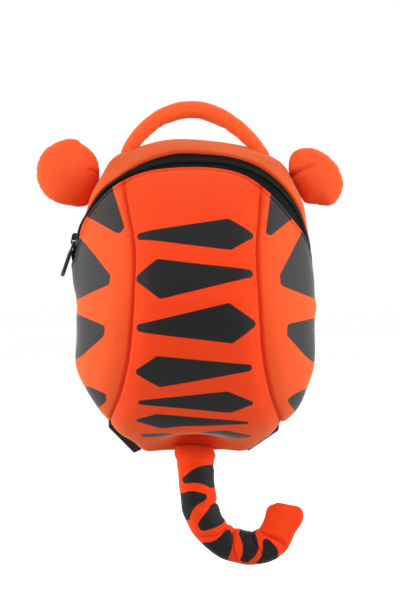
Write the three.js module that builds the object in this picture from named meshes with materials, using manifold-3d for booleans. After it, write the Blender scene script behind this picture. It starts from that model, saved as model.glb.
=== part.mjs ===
// A plush tiger backpack for a small child: a padded bag with an arched zip, two round ears,
// a stuffed tail, a carrying handle and two shoulder straps.
// Millimetres, +Z up, the front of the bag towards -Y. The origin is the middle of the back panel's
// outer face, which lies on the wearer. A depth is measured forward from there, and an angle in
// degrees round the bag from its top, positive towards +X.
import * as THREE from "three";
import { mergeVertices } from "three/addons/utils/BufferGeometryUtils.js";
import Module from "manifold-3d";

const wasm = await Module();
wasm.setup();

// Driving dimensions

const GAP = 0.4; // between neighbouring pieces

const BODY = {
  halfWidth: 96,
  depth: 110,
  rise: 132, // origin to the top
  drop: 127, // origin to the bottom
  outlineTop: 2.6, // squareness of the outline seen from the front
  outlineBottom: 2.65,
  profileTop: 1.45, // fullness of the outline seen from the side
  profileBottom: 1.7,
  nose: 0.15, // share of the height over which the front is rounded off
  section: 2.1, // squareness of a level section
  widest: 0.36, // share of the depth at which a section is widest
  backWidth: 0.905, // share of that width left at the back panel
  rollDepth: 12, // depth of the rounded edge round the back panel
  roll: 0.05, // share of the size lost over that edge
};

const CLOTH = {
  wall: 2.5, // padded panels
  seamSink: 3, // how deep a seam pulls a panel in
  seamReach: 9, // and how far from the seam
  edgeSink: 1, // the same at the zip and the gusset
  edgeReach: 5,
};

const BACK = { thickness: 4, sides: 72 };
const RIM = BACK.thickness + GAP; // depth at which the bag's walls meet the back panel

const ZIP = {
  depth: 39, // middle of the zip at the top
  shoulder: 3.5, // how much further forward it runs over the shoulders
  half: 9, // half of the tape that shows
  end: 74, // angle at which the panels close behind it
  taper: 14, // angle over which they close
  tapeEnd: 72,
  tapeLift: -0.9, // outer face of the tape against the panels' outer face
  tapeWall: 1.2,
  chainHalf: 3,
  chainLift: 0.3,
  chainWall: 0.8,
  chainEnd: 67,
  steps: 40,
};

// The seam between the centre panel and a side panel, from the zip down to the bottom corner.
const SEAM = {
  topAngle: 31.4,
  cornerAngle: 145,
  rows: [
    { x: 47, z: 40 },
    { x: 46.5, z: 0 },
    { x: 50, z: -45 },
    { x: 59, z: -77 },
    { x: 67, z: -93 },
  ],
  steps: 22,
};

const CENTRE = { columns: 20, outlineRows: 5, outlineEnd: 165 };
const SIDE = { columns: 8, tip: 0.014 }; // a side panel stops this share of the seam short of its ends
const GUSSET = { columns: 4, steps: 60, end: 142, wall: 2, sweep: 1.4 };

const HANDLE = {
  halfSpan: 51,
  footing: 118,
  rise: 37.3,
  halfThick: 6.75,
  halfDepth: 9,
  depth: 9.6,
  sides: 12,
  steps: 26,
};

const EARS = [
  { name: "ear_left", x: -101.8, z: 102.8, radius: 26.8, stretch: 1.6, lean: -50 },
  { name: "ear_right", x: 97.5, z: 100.5, radius: 24, stretch: 2.8, lean: 128 },
];
const EAR = { halfDepth: 14, depth: 14.6, fullness: 0.8, sides: 26, rings: 11 };

// The tail's middle line with its half sizes across and from front to back, root to tip.
const TAIL = [
  { x: 0, z: -108, across: 19, through: 16 },
  { x: 0, z: -127, across: 17.5, through: 16 },
  { x: 0, z: -142, across: 14.8, through: 14.5 },
  { x: 0.6, z: -155, across: 13.6, through: 13.5 },
  { x: 4.2, z: -171, across: 13, through: 13 },
  { x: 13.4, z: -187.5, across: 12.6, through: 12.6 },
  { x: 28, z: -198.5, across: 12.8, through: 12.8 },
  { x: 45, z: -201.3, across: 13, through: 12.8 },
  { x: 59, z: -195.2, across: 13.4, through: 11.5 },
  { x: 68.5, z: -183.5, across: 14.4, through: 8.5 },
  { x: 75.4, z: -169.5, across: 14.6, through: 3 },
];
// Folds across the tail: where along it, how deep, and on the inside or the outside of its curl.
const TAIL_FOLDS = [
  { share: 0.33, sink: 0.1, inside: 1 },
  { share: 0.47, sink: 0.14, inside: 1 },
  { share: 0.57, sink: 0.14, inside: 1 },
  { share: 0.67, sink: 0.16, inside: 1 },
  { share: 0.81, sink: 0.24, inside: 1 },
  { share: 0.82, sink: 0.1, inside: -1 },
];
const TAIL_FOLD_REACH = 0.018;
const TAIL_DEPTH = 18;
const TAIL_SIDES = 14;
const TAIL_STEPS = 44;

const STRAP = {
  anchor: { x: 30, z: 100 }, // middle of the sewn top end
  foot: { x: 54, z: -97 }, // middle of the sewn lower end
  width: 34,
  webbing: 20,
  rows: [
    { along: 0, out: 2.2, half: 1.6 },
    { along: 14, out: 8, half: 3.2 },
    { along: 34, out: 20, half: 3.5 },
    { along: 66, out: 29.5, half: 3.5 },
    { along: 98, out: 31, half: 3.5 },
    { along: 128, out: 26.5, half: 3.5 },
    { along: 150, out: 20.2, half: 2.8 },
  ],
  steps: 22,
  tongue: { along: 147, out: 21.1, half: 2.2 }, // where the webbing at its lower end starts
};
const ADJUSTER = {
  along: 168,
  out: 13.4,
  tilt: -21,
  halfWidth: 14,
  halfLength: 11.5,
  thickness: 2.8,
  bar: 3, // width of the three bars and of the two rails
};
const LOOP = { wall: 1.5, play: 0.5, steps: 8 }; // webbing sewn round a bar of the adjuster
const WEBBING = { half: 0.8, steps: 14 };
// Webbing tabs behind the bottom corners, each between two angles round the bag.
const CORNER_TAB = { from: 143, to: 159, steps: 5, inner: { x: 54, z: -92, half: 11 }, thickness: 2 };
const TAB_PEEK = { left: 3.8, right: 1.2 }; // how far each tab stands out of the bag's outline

const SLIDER = {
  angle: -63,
  halfWidth: 4,
  halfLength: 5.5,
  base: 0.6,
  top: 3,
  bridgeHalfWidth: 1.2,
  bridgeHalfLength: 4.9,
  bridgeTop: 6.8,
  bridgeBevel: 1.4,
  eyeLow: -3.4,
  eyeHigh: 3,
  eyeBase: 3.2,
  eyeTop: 5.6,
  hingeAlong: -2.2,
  hingeHeight: 4.4,
};
const PULLER = {
  halfWidth: 2.9,
  length: 33,
  thickness: 1.2,
  bar: 0.6, // half of the bar that turns in the slider's bridge
  eyeHalf: 1.7,
  eyeEnd: 6.5,
  slotHalf: 1.2,
  slotStart: 24,
  slotEnd: 30,
  restTilt: 8, // from the zip outwards
};

const FINISH = {
  orange: { color: 0xf4551f, roughness: 0.75 },
  black: { color: 0x262425, roughness: 0.7 },
  metal: { color: 0x1c1b1c, roughness: 0.45, metalness: 0.6 },
  plastic: { color: 0x202022, roughness: 0.5 },
};

// Small helpers

const { abs, cos, exp, max, min, sin } = Math;
const radians = THREE.MathUtils.degToRad;
const lerp = THREE.MathUtils.lerp;
const bell = (distance, reach) => exp(-((distance / reach) ** 2));
const shares = (count) => Array.from({ length: count + 1 }, (_, step) => step / count);
const mirrored = (point) => new THREE.Vector3(-point.x, point.y, point.z);

// The place between low and high where a rising level passes zero.
function crossing(level, low, high) {
  const halvings = 40;
  for (let step = 0; step < halvings; step++) {
    const middle = (low + high) / 2;
    if (level(middle) < 0) low = middle;
    else high = middle;
  }
  return (low + high) / 2;
}

// The bag's outer form

const BACK_TUCK = (1 - BODY.backWidth ** BODY.section) ** (1 / BODY.section);
const CORE = new THREE.Vector3(0, -30, 0);

// A power of the share, rounded off about zero and still 1 at 1.
function softened(share, power) {
  const start = BODY.nose ** power;
  const end = (1 + BODY.nose ** 2) ** (power / 2);
  return ((share ** 2 + BODY.nose ** 2) ** (power / 2) - start) / (end - start);
}

function sectionAt(z) {
  const share = abs(z) / (z > 0 ? BODY.rise : BODY.drop);
  const outline = z > 0 ? BODY.outlineTop : BODY.outlineBottom;
  const profile = z > 0 ? BODY.profileTop : BODY.profileBottom;
  const depth = BODY.depth * (1 - softened(share, profile)) ** (1 / profile);
  const halfWidth = BODY.halfWidth * (1 - share ** outline) ** (1 / outline);
  return { share, halfWidth, depth, widest: BODY.widest * depth };
}

// Below zero inside the bag, above zero outside it.
function bodyLevel(point) {
  const depth = -point.y;
  const size = 1 - BODY.roll * max(0, 1 - depth / BODY.rollDepth) ** 2;
  const section = sectionAt(point.z / size);
  if (section.share >= 1) return section.share;
  const ahead = (depth - section.widest) / (section.depth - section.widest);
  const behind = BACK_TUCK * (1 - depth / section.widest);
  const across = abs(point.x) / (size * section.halfWidth);
  return across ** BODY.section + max(ahead, behind, 0) ** BODY.section - 1;
}

function bodyNormal(point) {
  const step = 0.05;
  const slope = (axis) => {
    const ahead = point.clone();
    const behind = point.clone();
    ahead[axis] += step;
    behind[axis] -= step;
    return bodyLevel(ahead) - bodyLevel(behind);
  };
  return new THREE.Vector3(slope("x"), slope("y"), slope("z")).normalize();
}

// The point moved out from the bag's core, or in towards it, on to the bag's surface.
function onBody(point) {
  const ray = point.clone().sub(CORE);
  const at = (scale) => CORE.clone().addScaledVector(ray, scale);
  const furthest = 4;
  return at(crossing((scale) => bodyLevel(at(scale)), 0, furthest));
}

// The point of the front above a place seen from the front.
function onFront({ x, z }) {
  const section = sectionAt(z);
  const across = abs(x) / section.halfWidth;
  const ahead = (1 - across ** BODY.section) ** (1 / BODY.section);
  return new THREE.Vector3(x, -lerp(section.widest, section.depth, ahead), z);
}

// The point of the bag's surface at a depth, in a direction round the bag.
function contour(angle, depth) {
  const turn = radians(angle);
  const at = (radius) => new THREE.Vector3(radius * sin(turn), -depth, radius * cos(turn));
  return at(crossing((radius) => bodyLevel(at(radius)), 0, BODY.rise + BODY.halfWidth));
}

// Meshes and solids

function faced(points, index) {
  const geometry = new THREE.BufferGeometry().setFromPoints(points);
  let volume = 0;
  for (let corner = 0; corner < index.length; corner += 3) {
    const [a, b, c] = index.slice(corner, corner + 3).map((place) => points[place]);
    volume += a.dot(b.clone().cross(c));
  }
  return geometry.setIndex(volume < 0 ? index.toReversed() : index);
}

// A closed wall between two grids of points.
function shell(outer, inner) {
  const lastRow = outer.length - 1;
  const lastColumn = outer[0].length - 1;
  const layer = outer.length * outer[0].length;
  const index = [];
  const front = (row, column) => row * (lastColumn + 1) + column;
  const rear = (row, column) => layer + front(row, column);
  const quad = (a, b, c, d) => index.push(a, b, c, a, c, d);
  for (let row = 0; row < lastRow; row++) {
    const next = row + 1;
    for (let column = 0; column < lastColumn; column++) {
      const right = column + 1;
      quad(front(row, column), front(row, right), front(next, right), front(next, column));
      quad(rear(row, column), rear(next, column), rear(next, right), rear(row, right));
    }
    quad(front(row, 0), front(next, 0), rear(next, 0), rear(row, 0));
    quad(front(row, lastColumn), rear(row, lastColumn), rear(next, lastColumn), front(next, lastColumn));
  }
  for (let column = 0; column < lastColumn; column++) {
    const right = column + 1;
    quad(front(0, column), rear(0, column), rear(0, right), front(0, right));
    quad(front(lastRow, column), front(lastRow, right), rear(lastRow, right), rear(lastRow, column));
  }
  return faced([...outer.flat(), ...inner.flat()], index);
}

// A wall on the bag's surface, lifted off it or sunk into it by a function of its row and column.
function wall(rows, lift, thickness) {
  const raised = (extra) =>
    rows.map((row, r) =>
      row.map((point, c) => point.clone().addScaledVector(bodyNormal(point), lift(r, c) + extra)),
    );
  return shell(raised(0), raised(-thickness));
}

// A closed skin through rings of points, with a fan over each end.
function lofted(rings) {
  const sides = rings[0].length;
  const points = rings.flat();
  const index = [];
  for (let ring = 0; ring + 1 < rings.length; ring++) {
    for (let side = 0; side < sides; side++) {
      const next = (side + 1) % sides;
      const [a, b] = [ring * sides + side, ring * sides + next];
      index.push(a, b, b + sides, a, b + sides, a + sides);
    }
  }
  const middle = (ring) =>
    ring.reduce((sum, point) => sum.add(point), new THREE.Vector3()).divideScalar(sides);
  const lastStart = (rings.length - 1) * sides;
  points.push(middle(rings[0]), middle(rings.at(-1)));
  for (let side = 0; side < sides; side++) {
    const next = (side + 1) % sides;
    index.push(next, side, points.length - 2);
    index.push(lastStart + side, lastStart + next, points.length - 1);
  }
  return faced(points, index);
}

function solidOf(geometry) {
  const bare = geometry.clone();
  bare.deleteAttribute("normal");
  bare.deleteAttribute("uv");
  const merged = mergeVertices(bare);
  const vertProperties = merged.attributes.position.array;
  const triVerts = new Uint32Array(merged.index.array);
  return new wasm.Manifold(new wasm.Mesh({ numProp: 3, vertProperties, triVerts }));
}

function geometryOf(solid) {
  const { vertProperties, triVerts } = solid.getMesh();
  const geometry = new THREE.BufferGeometry();
  geometry.setAttribute("position", new THREE.BufferAttribute(vertProperties, 3));
  return geometry.setIndex(new THREE.BufferAttribute(triVerts, 1));
}

function polygon(corners) {
  return new THREE.Shape(corners.map(([x, y]) => new THREE.Vector2(x, y)));
}

function rectangle(left, bottom, right, top) {
  return polygon([[left, bottom], [right, bottom], [right, top], [left, top]]);
}

function extruded(shape, depth) {
  return new THREE.ExtrudeGeometry(shape, { depth, bevelEnabled: false, curveSegments: 6 });
}

// A shape drawn in x and z, given its thickness forwards from the plane y = 0.
const upright = (shape, thickness) => extruded(shape, thickness).rotateX(Math.PI / 2);

const backpack = new THREE.Group();
backpack.name = "backpack";

function piece(name, geometry, finish, parent = backpack) {
  geometry.computeVertexNormals();
  const mesh = new THREE.Mesh(geometry, new THREE.MeshStandardMaterial(finish));
  mesh.name = name;
  parent.add(mesh);
  return mesh;
}

// Lines on the bag that its walls share

function zipDepth(angle) {
  const turn = abs(angle);
  const arch = ZIP.depth + ZIP.shoulder * sin(2 * radians(min(turn, ZIP.end))) ** 2;
  if (turn <= ZIP.end) return arch;
  const below = (turn - ZIP.end) / (SEAM.cornerAngle - ZIP.end);
  return lerp(arch, RIM, below ** GUSSET.sweep);
}

const zipHalf = (angle) => ZIP.half * min(1, max(0, (ZIP.end - abs(angle)) / ZIP.taper));
const gussetEdge = (angle) => contour(angle, zipDepth(angle) - zipHalf(angle) - GAP / 2);
const panelEdge = (angle) => contour(angle, zipDepth(angle) + zipHalf(angle) + GAP / 2);

const seam = new THREE.CatmullRomCurve3([
  panelEdge(SEAM.topAngle),
  ...SEAM.rows.map(onFront),
  contour(SEAM.cornerAngle, RIM),
]);
const sideShares = shares(SEAM.steps).map((share) => min(max(share, SIDE.tip), 1 - SIDE.tip));
const seamPoint = (share, shift) => {
  const point = seam.getPointAt(share);
  point.x += shift;
  return onBody(point);
};

// Panels

function backPanel() {
  const outline = shares(BACK.sides)
    .slice(1)
    .map((share) => contour(360 * share, BACK.thickness));
  const shape = new THREE.Shape(outline.map(({ x, z }) => new THREE.Vector2(x, z)));
  piece("back_panel", upright(shape, BACK.thickness), FINISH.orange);
}

// Rows run across the panel, down its seams and then round the bottom edge of the bag.
function centrePanel() {
  const outlineShares = shares(CENTRE.outlineRows).slice(1);
  const border = [
    ...[0, ...sideShares, 1].map((share) => seamPoint(share, -GAP / 2)),
    ...outlineShares.map((share) => contour(lerp(SEAM.cornerAngle, CENTRE.outlineEnd, share), RIM)),
  ];
  const facing = (point) => Math.atan2(point.z, CORE.y - point.y);
  const topFacing = facing(panelEdge(0));
  const bottomFacing = facing(contour(180, RIM));
  const middleLine = new THREE.CatmullRomCurve3(
    shares(SEAM.steps).map((share) => {
      const turn = lerp(topFacing, bottomFacing, share);
      const ahead = new THREE.Vector3(0, -cos(turn), sin(turn)).multiplyScalar(BODY.halfWidth);
      return onBody(ahead.add(CORE));
    }),
  );
  const length = middleLine.getLength();
  const last = border.length - 1;
  const across = shares(CENTRE.columns).map((share) => 2 * share - 1);
  const rows = border.map((edge, row) => {
    const middle = middleLine.getPointAt(row / last);
    return across.map((u) => {
      if (row === 0) return panelEdge(u * SEAM.topAngle);
      if (row === last) return contour(180 - u * (180 - CENTRE.outlineEnd), RIM);
      const point = middle.clone().lerp(edge, u * u);
      point.x = edge.x * u;
      return onBody(point);
    });
  });
  const lift = (row, column) => {
    const toSeam = (1 - abs(across[column])) * border[row].x;
    const toBottom = (1 - row / last) * length;
    const toZip = (row / last) * length;
    const seamPull = CLOTH.seamSink * bell(min(toSeam, toBottom), CLOTH.seamReach);
    return -max(seamPull, CLOTH.edgeSink * bell(toZip, CLOTH.edgeReach));
  };
  piece("centre_panel", wall(rows, lift, CLOTH.wall), FINISH.orange);
}

function sidePanels() {
  const columns = shares(SIDE.columns);
  const width = [];
  const rows = sideShares.map((share) => {
    const start = seamPoint(share, GAP / 2);
    const end = panelEdge(lerp(SEAM.topAngle, SEAM.cornerAngle, share));
    width.push(start.distanceTo(end));
    return columns.map((column) => (column === 1 ? end : onBody(start.clone().lerp(end, column))));
  });
  const lift = (row, column) => {
    const toSeam = columns[column] * width[row];
    const seamPull = CLOTH.seamSink * bell(toSeam, CLOTH.seamReach);
    return -max(seamPull, CLOTH.edgeSink * bell(width[row] - toSeam, CLOTH.edgeReach));
  };
  const mirroredRows = rows.map((row) => row.map(mirrored));
  piece("side_panel_right", wall(rows, lift, CLOTH.wall), FINISH.orange);
  piece("side_panel_left", wall(mirroredRows, lift, CLOTH.wall), FINISH.orange);
}

// A band round the bag between two depths that follow the angle.
function band(end, steps, columns, rear, front) {
  return shares(steps).map((step) => {
    const angle = lerp(-end, end, step);
    return shares(columns).map((share) => contour(angle, lerp(rear(angle), front(angle), share)));
  });
}

function gusset() {
  const edge = (angle) => -gussetEdge(angle).y;
  const rows = band(GUSSET.end, GUSSET.steps, GUSSET.columns, () => RIM, edge);
  piece("gusset", wall(rows, () => 0, GUSSET.wall), FINISH.orange);
}

// Zip

function zip() {
  const tapeHalf = (angle) => zipHalf(angle) - GAP / 2;
  const strip = (half, end) => {
    const rear = (angle) => zipDepth(angle) - half(angle);
    const front = (angle) => zipDepth(angle) + half(angle);
    return band(end, ZIP.steps, 2, rear, front);
  };
  const tape = strip(tapeHalf, ZIP.tapeEnd);
  const chain = strip(() => ZIP.chainHalf, ZIP.chainEnd);
  piece("zip_tape", wall(tape, () => ZIP.tapeLift, ZIP.tapeWall), FINISH.black);
  piece("zip_chain", wall(chain, () => ZIP.chainLift, ZIP.chainWall), FINISH.black);
}

// The slider stands on the chain: its y runs up along the zip and its z out of the bag.
function sliderFrame() {
  const at = (angle) => contour(angle, zipDepth(angle));
  const place = at(SLIDER.angle);
  const outward = bodyNormal(place);
  const along = at(SLIDER.angle + 1).sub(at(SLIDER.angle - 1));
  const up = along.projectOnPlane(outward).normalize();
  const across = up.clone().cross(outward);
  const frame = new THREE.Group();
  frame.matrixAutoUpdate = false;
  frame.matrix.makeBasis(across, up, outward).setPosition(place);
  return frame;
}

function sliderGeometry() {
  const { halfWidth, halfLength, base, top, bridgeHalfWidth, bridgeHalfLength } = SLIDER;
  const nose = halfWidth / 2;
  const plate = extruded(
    polygon([
      [-nose, -halfLength],
      [nose, -halfLength],
      [halfWidth, 0],
      [halfWidth, halfLength],
      [-halfWidth, halfLength],
      [-halfWidth, 0],
    ]),
    top - base,
  ).translate(0, 0, base);
  const shoulder = SLIDER.bridgeTop - SLIDER.bridgeBevel;
  const crown = bridgeHalfLength - SLIDER.bridgeBevel;
  const arch = polygon([
    [-bridgeHalfLength, base + GAP],
    [bridgeHalfLength, base + GAP],
    [bridgeHalfLength, shoulder],
    [crown, SLIDER.bridgeTop],
    [-crown, SLIDER.bridgeTop],
    [-bridgeHalfLength, shoulder],
  ]);
  arch.holes.push(rectangle(SLIDER.eyeLow, SLIDER.eyeBase, SLIDER.eyeHigh, SLIDER.eyeTop));
  const bridge = extruded(arch, 2 * bridgeHalfWidth)
    .translate(0, 0, -bridgeHalfWidth)
    .applyMatrix4(new THREE.Matrix4().makeBasis(
      new THREE.Vector3(0, 1, 0),
      new THREE.Vector3(0, 0, 1),
      new THREE.Vector3(1, 0, 0),
    ));
  return geometryOf(solidOf(plate).add(solidOf(bridge)));
}

// The puller hangs from the bar at its top, which lies along x through the slider's bridge.
function pullerGeometry() {
  const { halfWidth, length, bar, eyeHalf, slotHalf, thickness } = PULLER;
  const tab = new THREE.Shape();
  tab.moveTo(-halfWidth, bar);
  tab.lineTo(-halfWidth, halfWidth - length);
  tab.absarc(0, halfWidth - length, halfWidth, Math.PI, 2 * Math.PI);
  tab.lineTo(halfWidth, bar);
  tab.closePath();
  tab.holes.push(rectangle(-eyeHalf, -PULLER.eyeEnd, eyeHalf, -bar));
  tab.holes.push(rectangle(-slotHalf, -PULLER.slotEnd, slotHalf, -PULLER.slotStart));
  return extruded(tab, thickness).translate(0, 0, -thickness / 2);
}

function zipPull() {
  const frame = sliderFrame();
  backpack.add(frame);
  piece("zip_slider", sliderGeometry(), FINISH.metal, frame);
  const puller = piece("zip_puller", pullerGeometry(), FINISH.plastic, frame);
  puller.position.set(0, SLIDER.hingeAlong, SLIDER.hingeHeight);
  puller.rotation.x = -radians(PULLER.restTilt);
}

// Stuffed pieces, cut to sit on the bag

// The bag's outer form, swollen by a clearance, as one solid.
function bodyEnvelope() {
  const clearance = 0.6;
  const sides = 96;
  const nearNose = BODY.depth - 2;
  const depths = [BACK.thickness, 6, 9, 12, 18, 26, 34, 42, 52, 62, 72, 82, 92, 100, nearNose];
  const angles = shares(sides).slice(1).map((share) => 360 * share);
  const rings = depths.map((depth) =>
    angles.map((angle) => {
      const point = contour(angle, depth);
      return point.addScaledVector(bodyNormal(point), clearance);
    }),
  );
  const backRing = rings[0].map((point) => new THREE.Vector3(point.x, clearance, point.z));
  return solidOf(lofted([backRing, ...rings]));
}

const envelope = bodyEnvelope();
const seated = (geometry) => geometryOf(solidOf(geometry).subtract(envelope));

// An oval ring about a point of a line that lies in a plane facing the front.
function ovalRing(centre, heading, across, through, sides) {
  const outward = new THREE.Vector3(heading.z, 0, -heading.x).normalize();
  return shares(sides)
    .slice(1)
    .map((share) => {
      const turn = 2 * Math.PI * share;
      const point = centre.clone().addScaledVector(outward, across(turn) * cos(turn));
      point.y -= through(turn) * sin(turn);
      return point;
    });
}

function handle() {
  const rings = shares(HANDLE.steps).map((share) => {
    const turn = Math.PI * share;
    const x = HANDLE.halfSpan * cos(turn);
    const z = HANDLE.footing + HANDLE.rise * sin(turn);
    const heading = new THREE.Vector3(-HANDLE.halfSpan * sin(turn), 0, HANDLE.rise * cos(turn));
    const centre = new THREE.Vector3(x, -HANDLE.depth, z);
    return ovalRing(centre, heading, () => HANDLE.halfThick, () => HANDLE.halfDepth, HANDLE.sides);
  });
  piece("handle", seated(lofted(rings)), FINISH.orange);
}

function ear({ name, x, z, radius, stretch, lean }) {
  const latitudes = shares(EAR.rings + 1).slice(1, -1);
  const rings = latitudes.map((share) => {
    const latitude = Math.PI * (share - 0.5);
    const swell = Math.sign(latitude) * abs(sin(latitude)) ** EAR.fullness;
    return shares(EAR.sides).slice(1).map((side) => {
      const turn = 2 * Math.PI * side;
      const reach = (radius + stretch * cos(2 * (turn - radians(lean)))) * cos(latitude);
      const depth = EAR.depth + EAR.halfDepth * swell;
      return new THREE.Vector3(x + reach * cos(turn), -depth, z + reach * sin(turn));
    });
  });
  piece(name, seated(lofted(rings)), FINISH.orange);
}

function tail() {
  const line = new THREE.CatmullRomCurve3(TAIL.map(({ x, z }) => new THREE.Vector3(x, -TAIL_DEPTH, z)));
  const sizes = new THREE.CatmullRomCurve3(
    TAIL.map(({ across, through }) => new THREE.Vector3(across, through, 0)),
  );
  const rings = shares(TAIL_STEPS).map((share) => {
    const place = line.getUtoTmapping(share);
    const size = sizes.getPoint(place);
    const folded = (turn) =>
      TAIL_FOLDS.reduce((left, fold) => {
        const facing = max(0, -fold.inside * cos(turn));
        return left * (1 - fold.sink * facing * bell(share - fold.share, TAIL_FOLD_REACH));
      }, 1);
    const across = (turn) => size.x * folded(turn);
    return ovalRing(line.getPoint(place), line.getTangent(place), across, () => size.y, TAIL_SIDES);
  });
  piece("tail", seated(lofted(rings)), FINISH.orange);
}

// Shoulder straps, behind the back panel

// A strap's own frame: x runs down along it and y out of the back.
function strapFrame(side) {
  const top = new THREE.Vector3(side * STRAP.anchor.x, 0, STRAP.anchor.z);
  const down = new THREE.Vector3(side * STRAP.foot.x, 0, STRAP.foot.z).sub(top).normalize();
  const out = new THREE.Vector3(0, 1, 0);
  const frame = new THREE.Group();
  frame.matrixAutoUpdate = false;
  frame.matrix.makeBasis(down, out, down.clone().cross(out)).setPosition(top);
  return frame;
}

const strapLength = Math.hypot(STRAP.foot.x - STRAP.anchor.x, STRAP.foot.z - STRAP.anchor.z);

// A point beside the adjuster, given along it and out of it, in the strap's frame.
function byAdjuster(along, out) {
  const turned = new THREE.Vector2(along, out).rotateAround(new THREE.Vector2(), radians(ADJUSTER.tilt));
  return turned.add(new THREE.Vector2(ADJUSTER.along, ADJUSTER.out));
}

// The outline of a ribbon seen from its edge, from rows of middle points and half thicknesses.
function ribbonOutline(rows, steps) {
  const line = new THREE.CatmullRomCurve3(
    rows.map(({ along, out, half }) => new THREE.Vector3(along, out, half)),
  );
  const edges = shares(steps).map((share) => {
    const { x, y, z: half } = line.getPoint(share);
    const heading = line.getTangent(share);
    const normal = new THREE.Vector2(-heading.y, heading.x).normalize();
    const middle = new THREE.Vector2(x, y);
    return [middle.clone().addScaledVector(normal, half), middle.clone().addScaledVector(normal, -half)];
  });
  const upper = edges.map(([above]) => above);
  const lower = edges.map(([, below]) => below).toReversed();
  return [...upper, ...lower];
}

const barMiddle = ADJUSTER.halfLength - ADJUSTER.bar / 2;
const loopHalf = ADJUSTER.thickness / 2 + LOOP.play + LOOP.wall;

// The hole that a bar of the adjuster fills in the webbing sewn round it.
function barHole(end) {
  const halfAlong = ADJUSTER.bar / 2 + LOOP.play;
  const halfOut = ADJUSTER.thickness / 2 + LOOP.play;
  const corners = [[-1, -1], [1, -1], [1, 1], [-1, 1]];
  return new THREE.Path(
    corners.map(([a, b]) => byAdjuster(end * barMiddle + a * halfAlong, b * halfOut)),
  );
}

const ribbon = (shape, width) => extruded(shape, width).translate(0, 0, -width / 2);

function strapGeometry() {
  const padded = ribbon(new THREE.Shape(ribbonOutline(STRAP.rows, STRAP.steps)), STRAP.width);
  const loopEnd = -barMiddle + ADJUSTER.bar / 2 + LOOP.play + LOOP.wall;
  const near = byAdjuster(-barMiddle - ADJUSTER.bar, 0);
  const far = byAdjuster(loopEnd, 0);
  const rows = [
    STRAP.tongue,
    { along: near.x, out: near.y, half: loopHalf },
    { along: far.x, out: far.y, half: loopHalf },
  ];
  const tongue = new THREE.Shape(ribbonOutline(rows, LOOP.steps));
  tongue.holes.push(barHole(-1));
  return geometryOf(solidOf(padded).add(solidOf(ribbon(tongue, STRAP.webbing))));
}

function webbingGeometry() {
  const loopStart = barMiddle - ADJUSTER.bar / 2 - LOOP.play - LOOP.wall;
  const loopEnd = barMiddle + ADJUSTER.bar;
  const near = byAdjuster(loopStart, 0);
  const far = byAdjuster(loopEnd, 0);
  const sewn = new THREE.Vector2(strapLength, 2 * GAP + CORNER_TAB.thickness + WEBBING.half);
  const halfWay = far.clone().lerp(sewn, 0.5);
  const rows = [
    { along: near.x, out: near.y, half: loopHalf },
    { along: far.x, out: far.y, half: loopHalf },
    { along: halfWay.x, out: halfWay.y, half: WEBBING.half },
    { along: sewn.x, out: sewn.y, half: WEBBING.half },
  ];
  const strip = new THREE.Shape(ribbonOutline(rows, WEBBING.steps));
  strip.holes.push(barHole(1));
  return ribbon(strip, STRAP.webbing);
}

// A flat ladder of three bars between two rails.
function adjusterGeometry() {
  const { halfWidth, halfLength, bar, thickness } = ADJUSTER;
  const railMiddle = halfWidth - bar / 2;
  const rails = [-railMiddle, railMiddle].map((across) =>
    new THREE.BoxGeometry(2 * halfLength, thickness, bar).translate(0, 0, across),
  );
  const bars = [-barMiddle, 0, barMiddle].map((along) =>
    new THREE.BoxGeometry(bar, thickness, 2 * halfWidth).translate(along, 0, 0),
  );
  const joined = [...rails, ...bars].map(solidOf).reduce((ladder, part) => ladder.add(part));
  return geometryOf(joined);
}

// The widest line of the bag, seen from the front, moved outwards.
function outlinePoint(angle, outwards) {
  const turn = radians(angle);
  const at = (radius) => new THREE.Vector2(radius * sin(turn), radius * cos(turn));
  const level = (radius) => {
    const { share, halfWidth } = sectionAt(at(radius).y);
    return share >= 1 ? share : abs(at(radius).x) / halfWidth - 1;
  };
  return at(crossing(level, 0, BODY.rise + BODY.halfWidth) + outwards);
}

// A folded webbing tab behind a bottom corner, whose outer edge shows past the bag.
function cornerTab(side, name, peek) {
  const { from, to, steps, inner, thickness } = CORNER_TAB;
  const outer = shares(steps).map((share) => outlinePoint(lerp(from, to, share), peek));
  const ends = [-inner.half, inner.half].map((beside) => new THREE.Vector2(inner.x + beside, inner.z));
  const shape = new THREE.Shape([...outer, ...ends].map(({ x, y }) => new THREE.Vector2(side * x, y)));
  const plate = upright(shape, thickness).translate(0, GAP + thickness, 0);
  piece(name, plate, FINISH.black);
}

function shoulderStrap(side, hand) {
  const frame = strapFrame(side);
  backpack.add(frame);
  piece("strap_" + hand, strapGeometry(), FINISH.orange, frame);
  piece("webbing_" + hand, webbingGeometry(), FINISH.black, frame);
  const adjuster = piece("adjuster_" + hand, adjusterGeometry(), FINISH.plastic, frame);
  adjuster.position.set(ADJUSTER.along, ADJUSTER.out, 0);
  adjuster.rotation.z = radians(ADJUSTER.tilt);
  cornerTab(side, "corner_tab_" + hand, TAB_PEEK[hand]);
}

backPanel();
centrePanel();
sidePanels();
gusset();
zip();
zipPull();
handle();
EARS.forEach(ear);
tail();
shoulderStrap(-1, "left");
shoulderStrap(1, "right");

export default backpack;
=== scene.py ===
import math
from types import SimpleNamespace as Sizes

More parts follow.
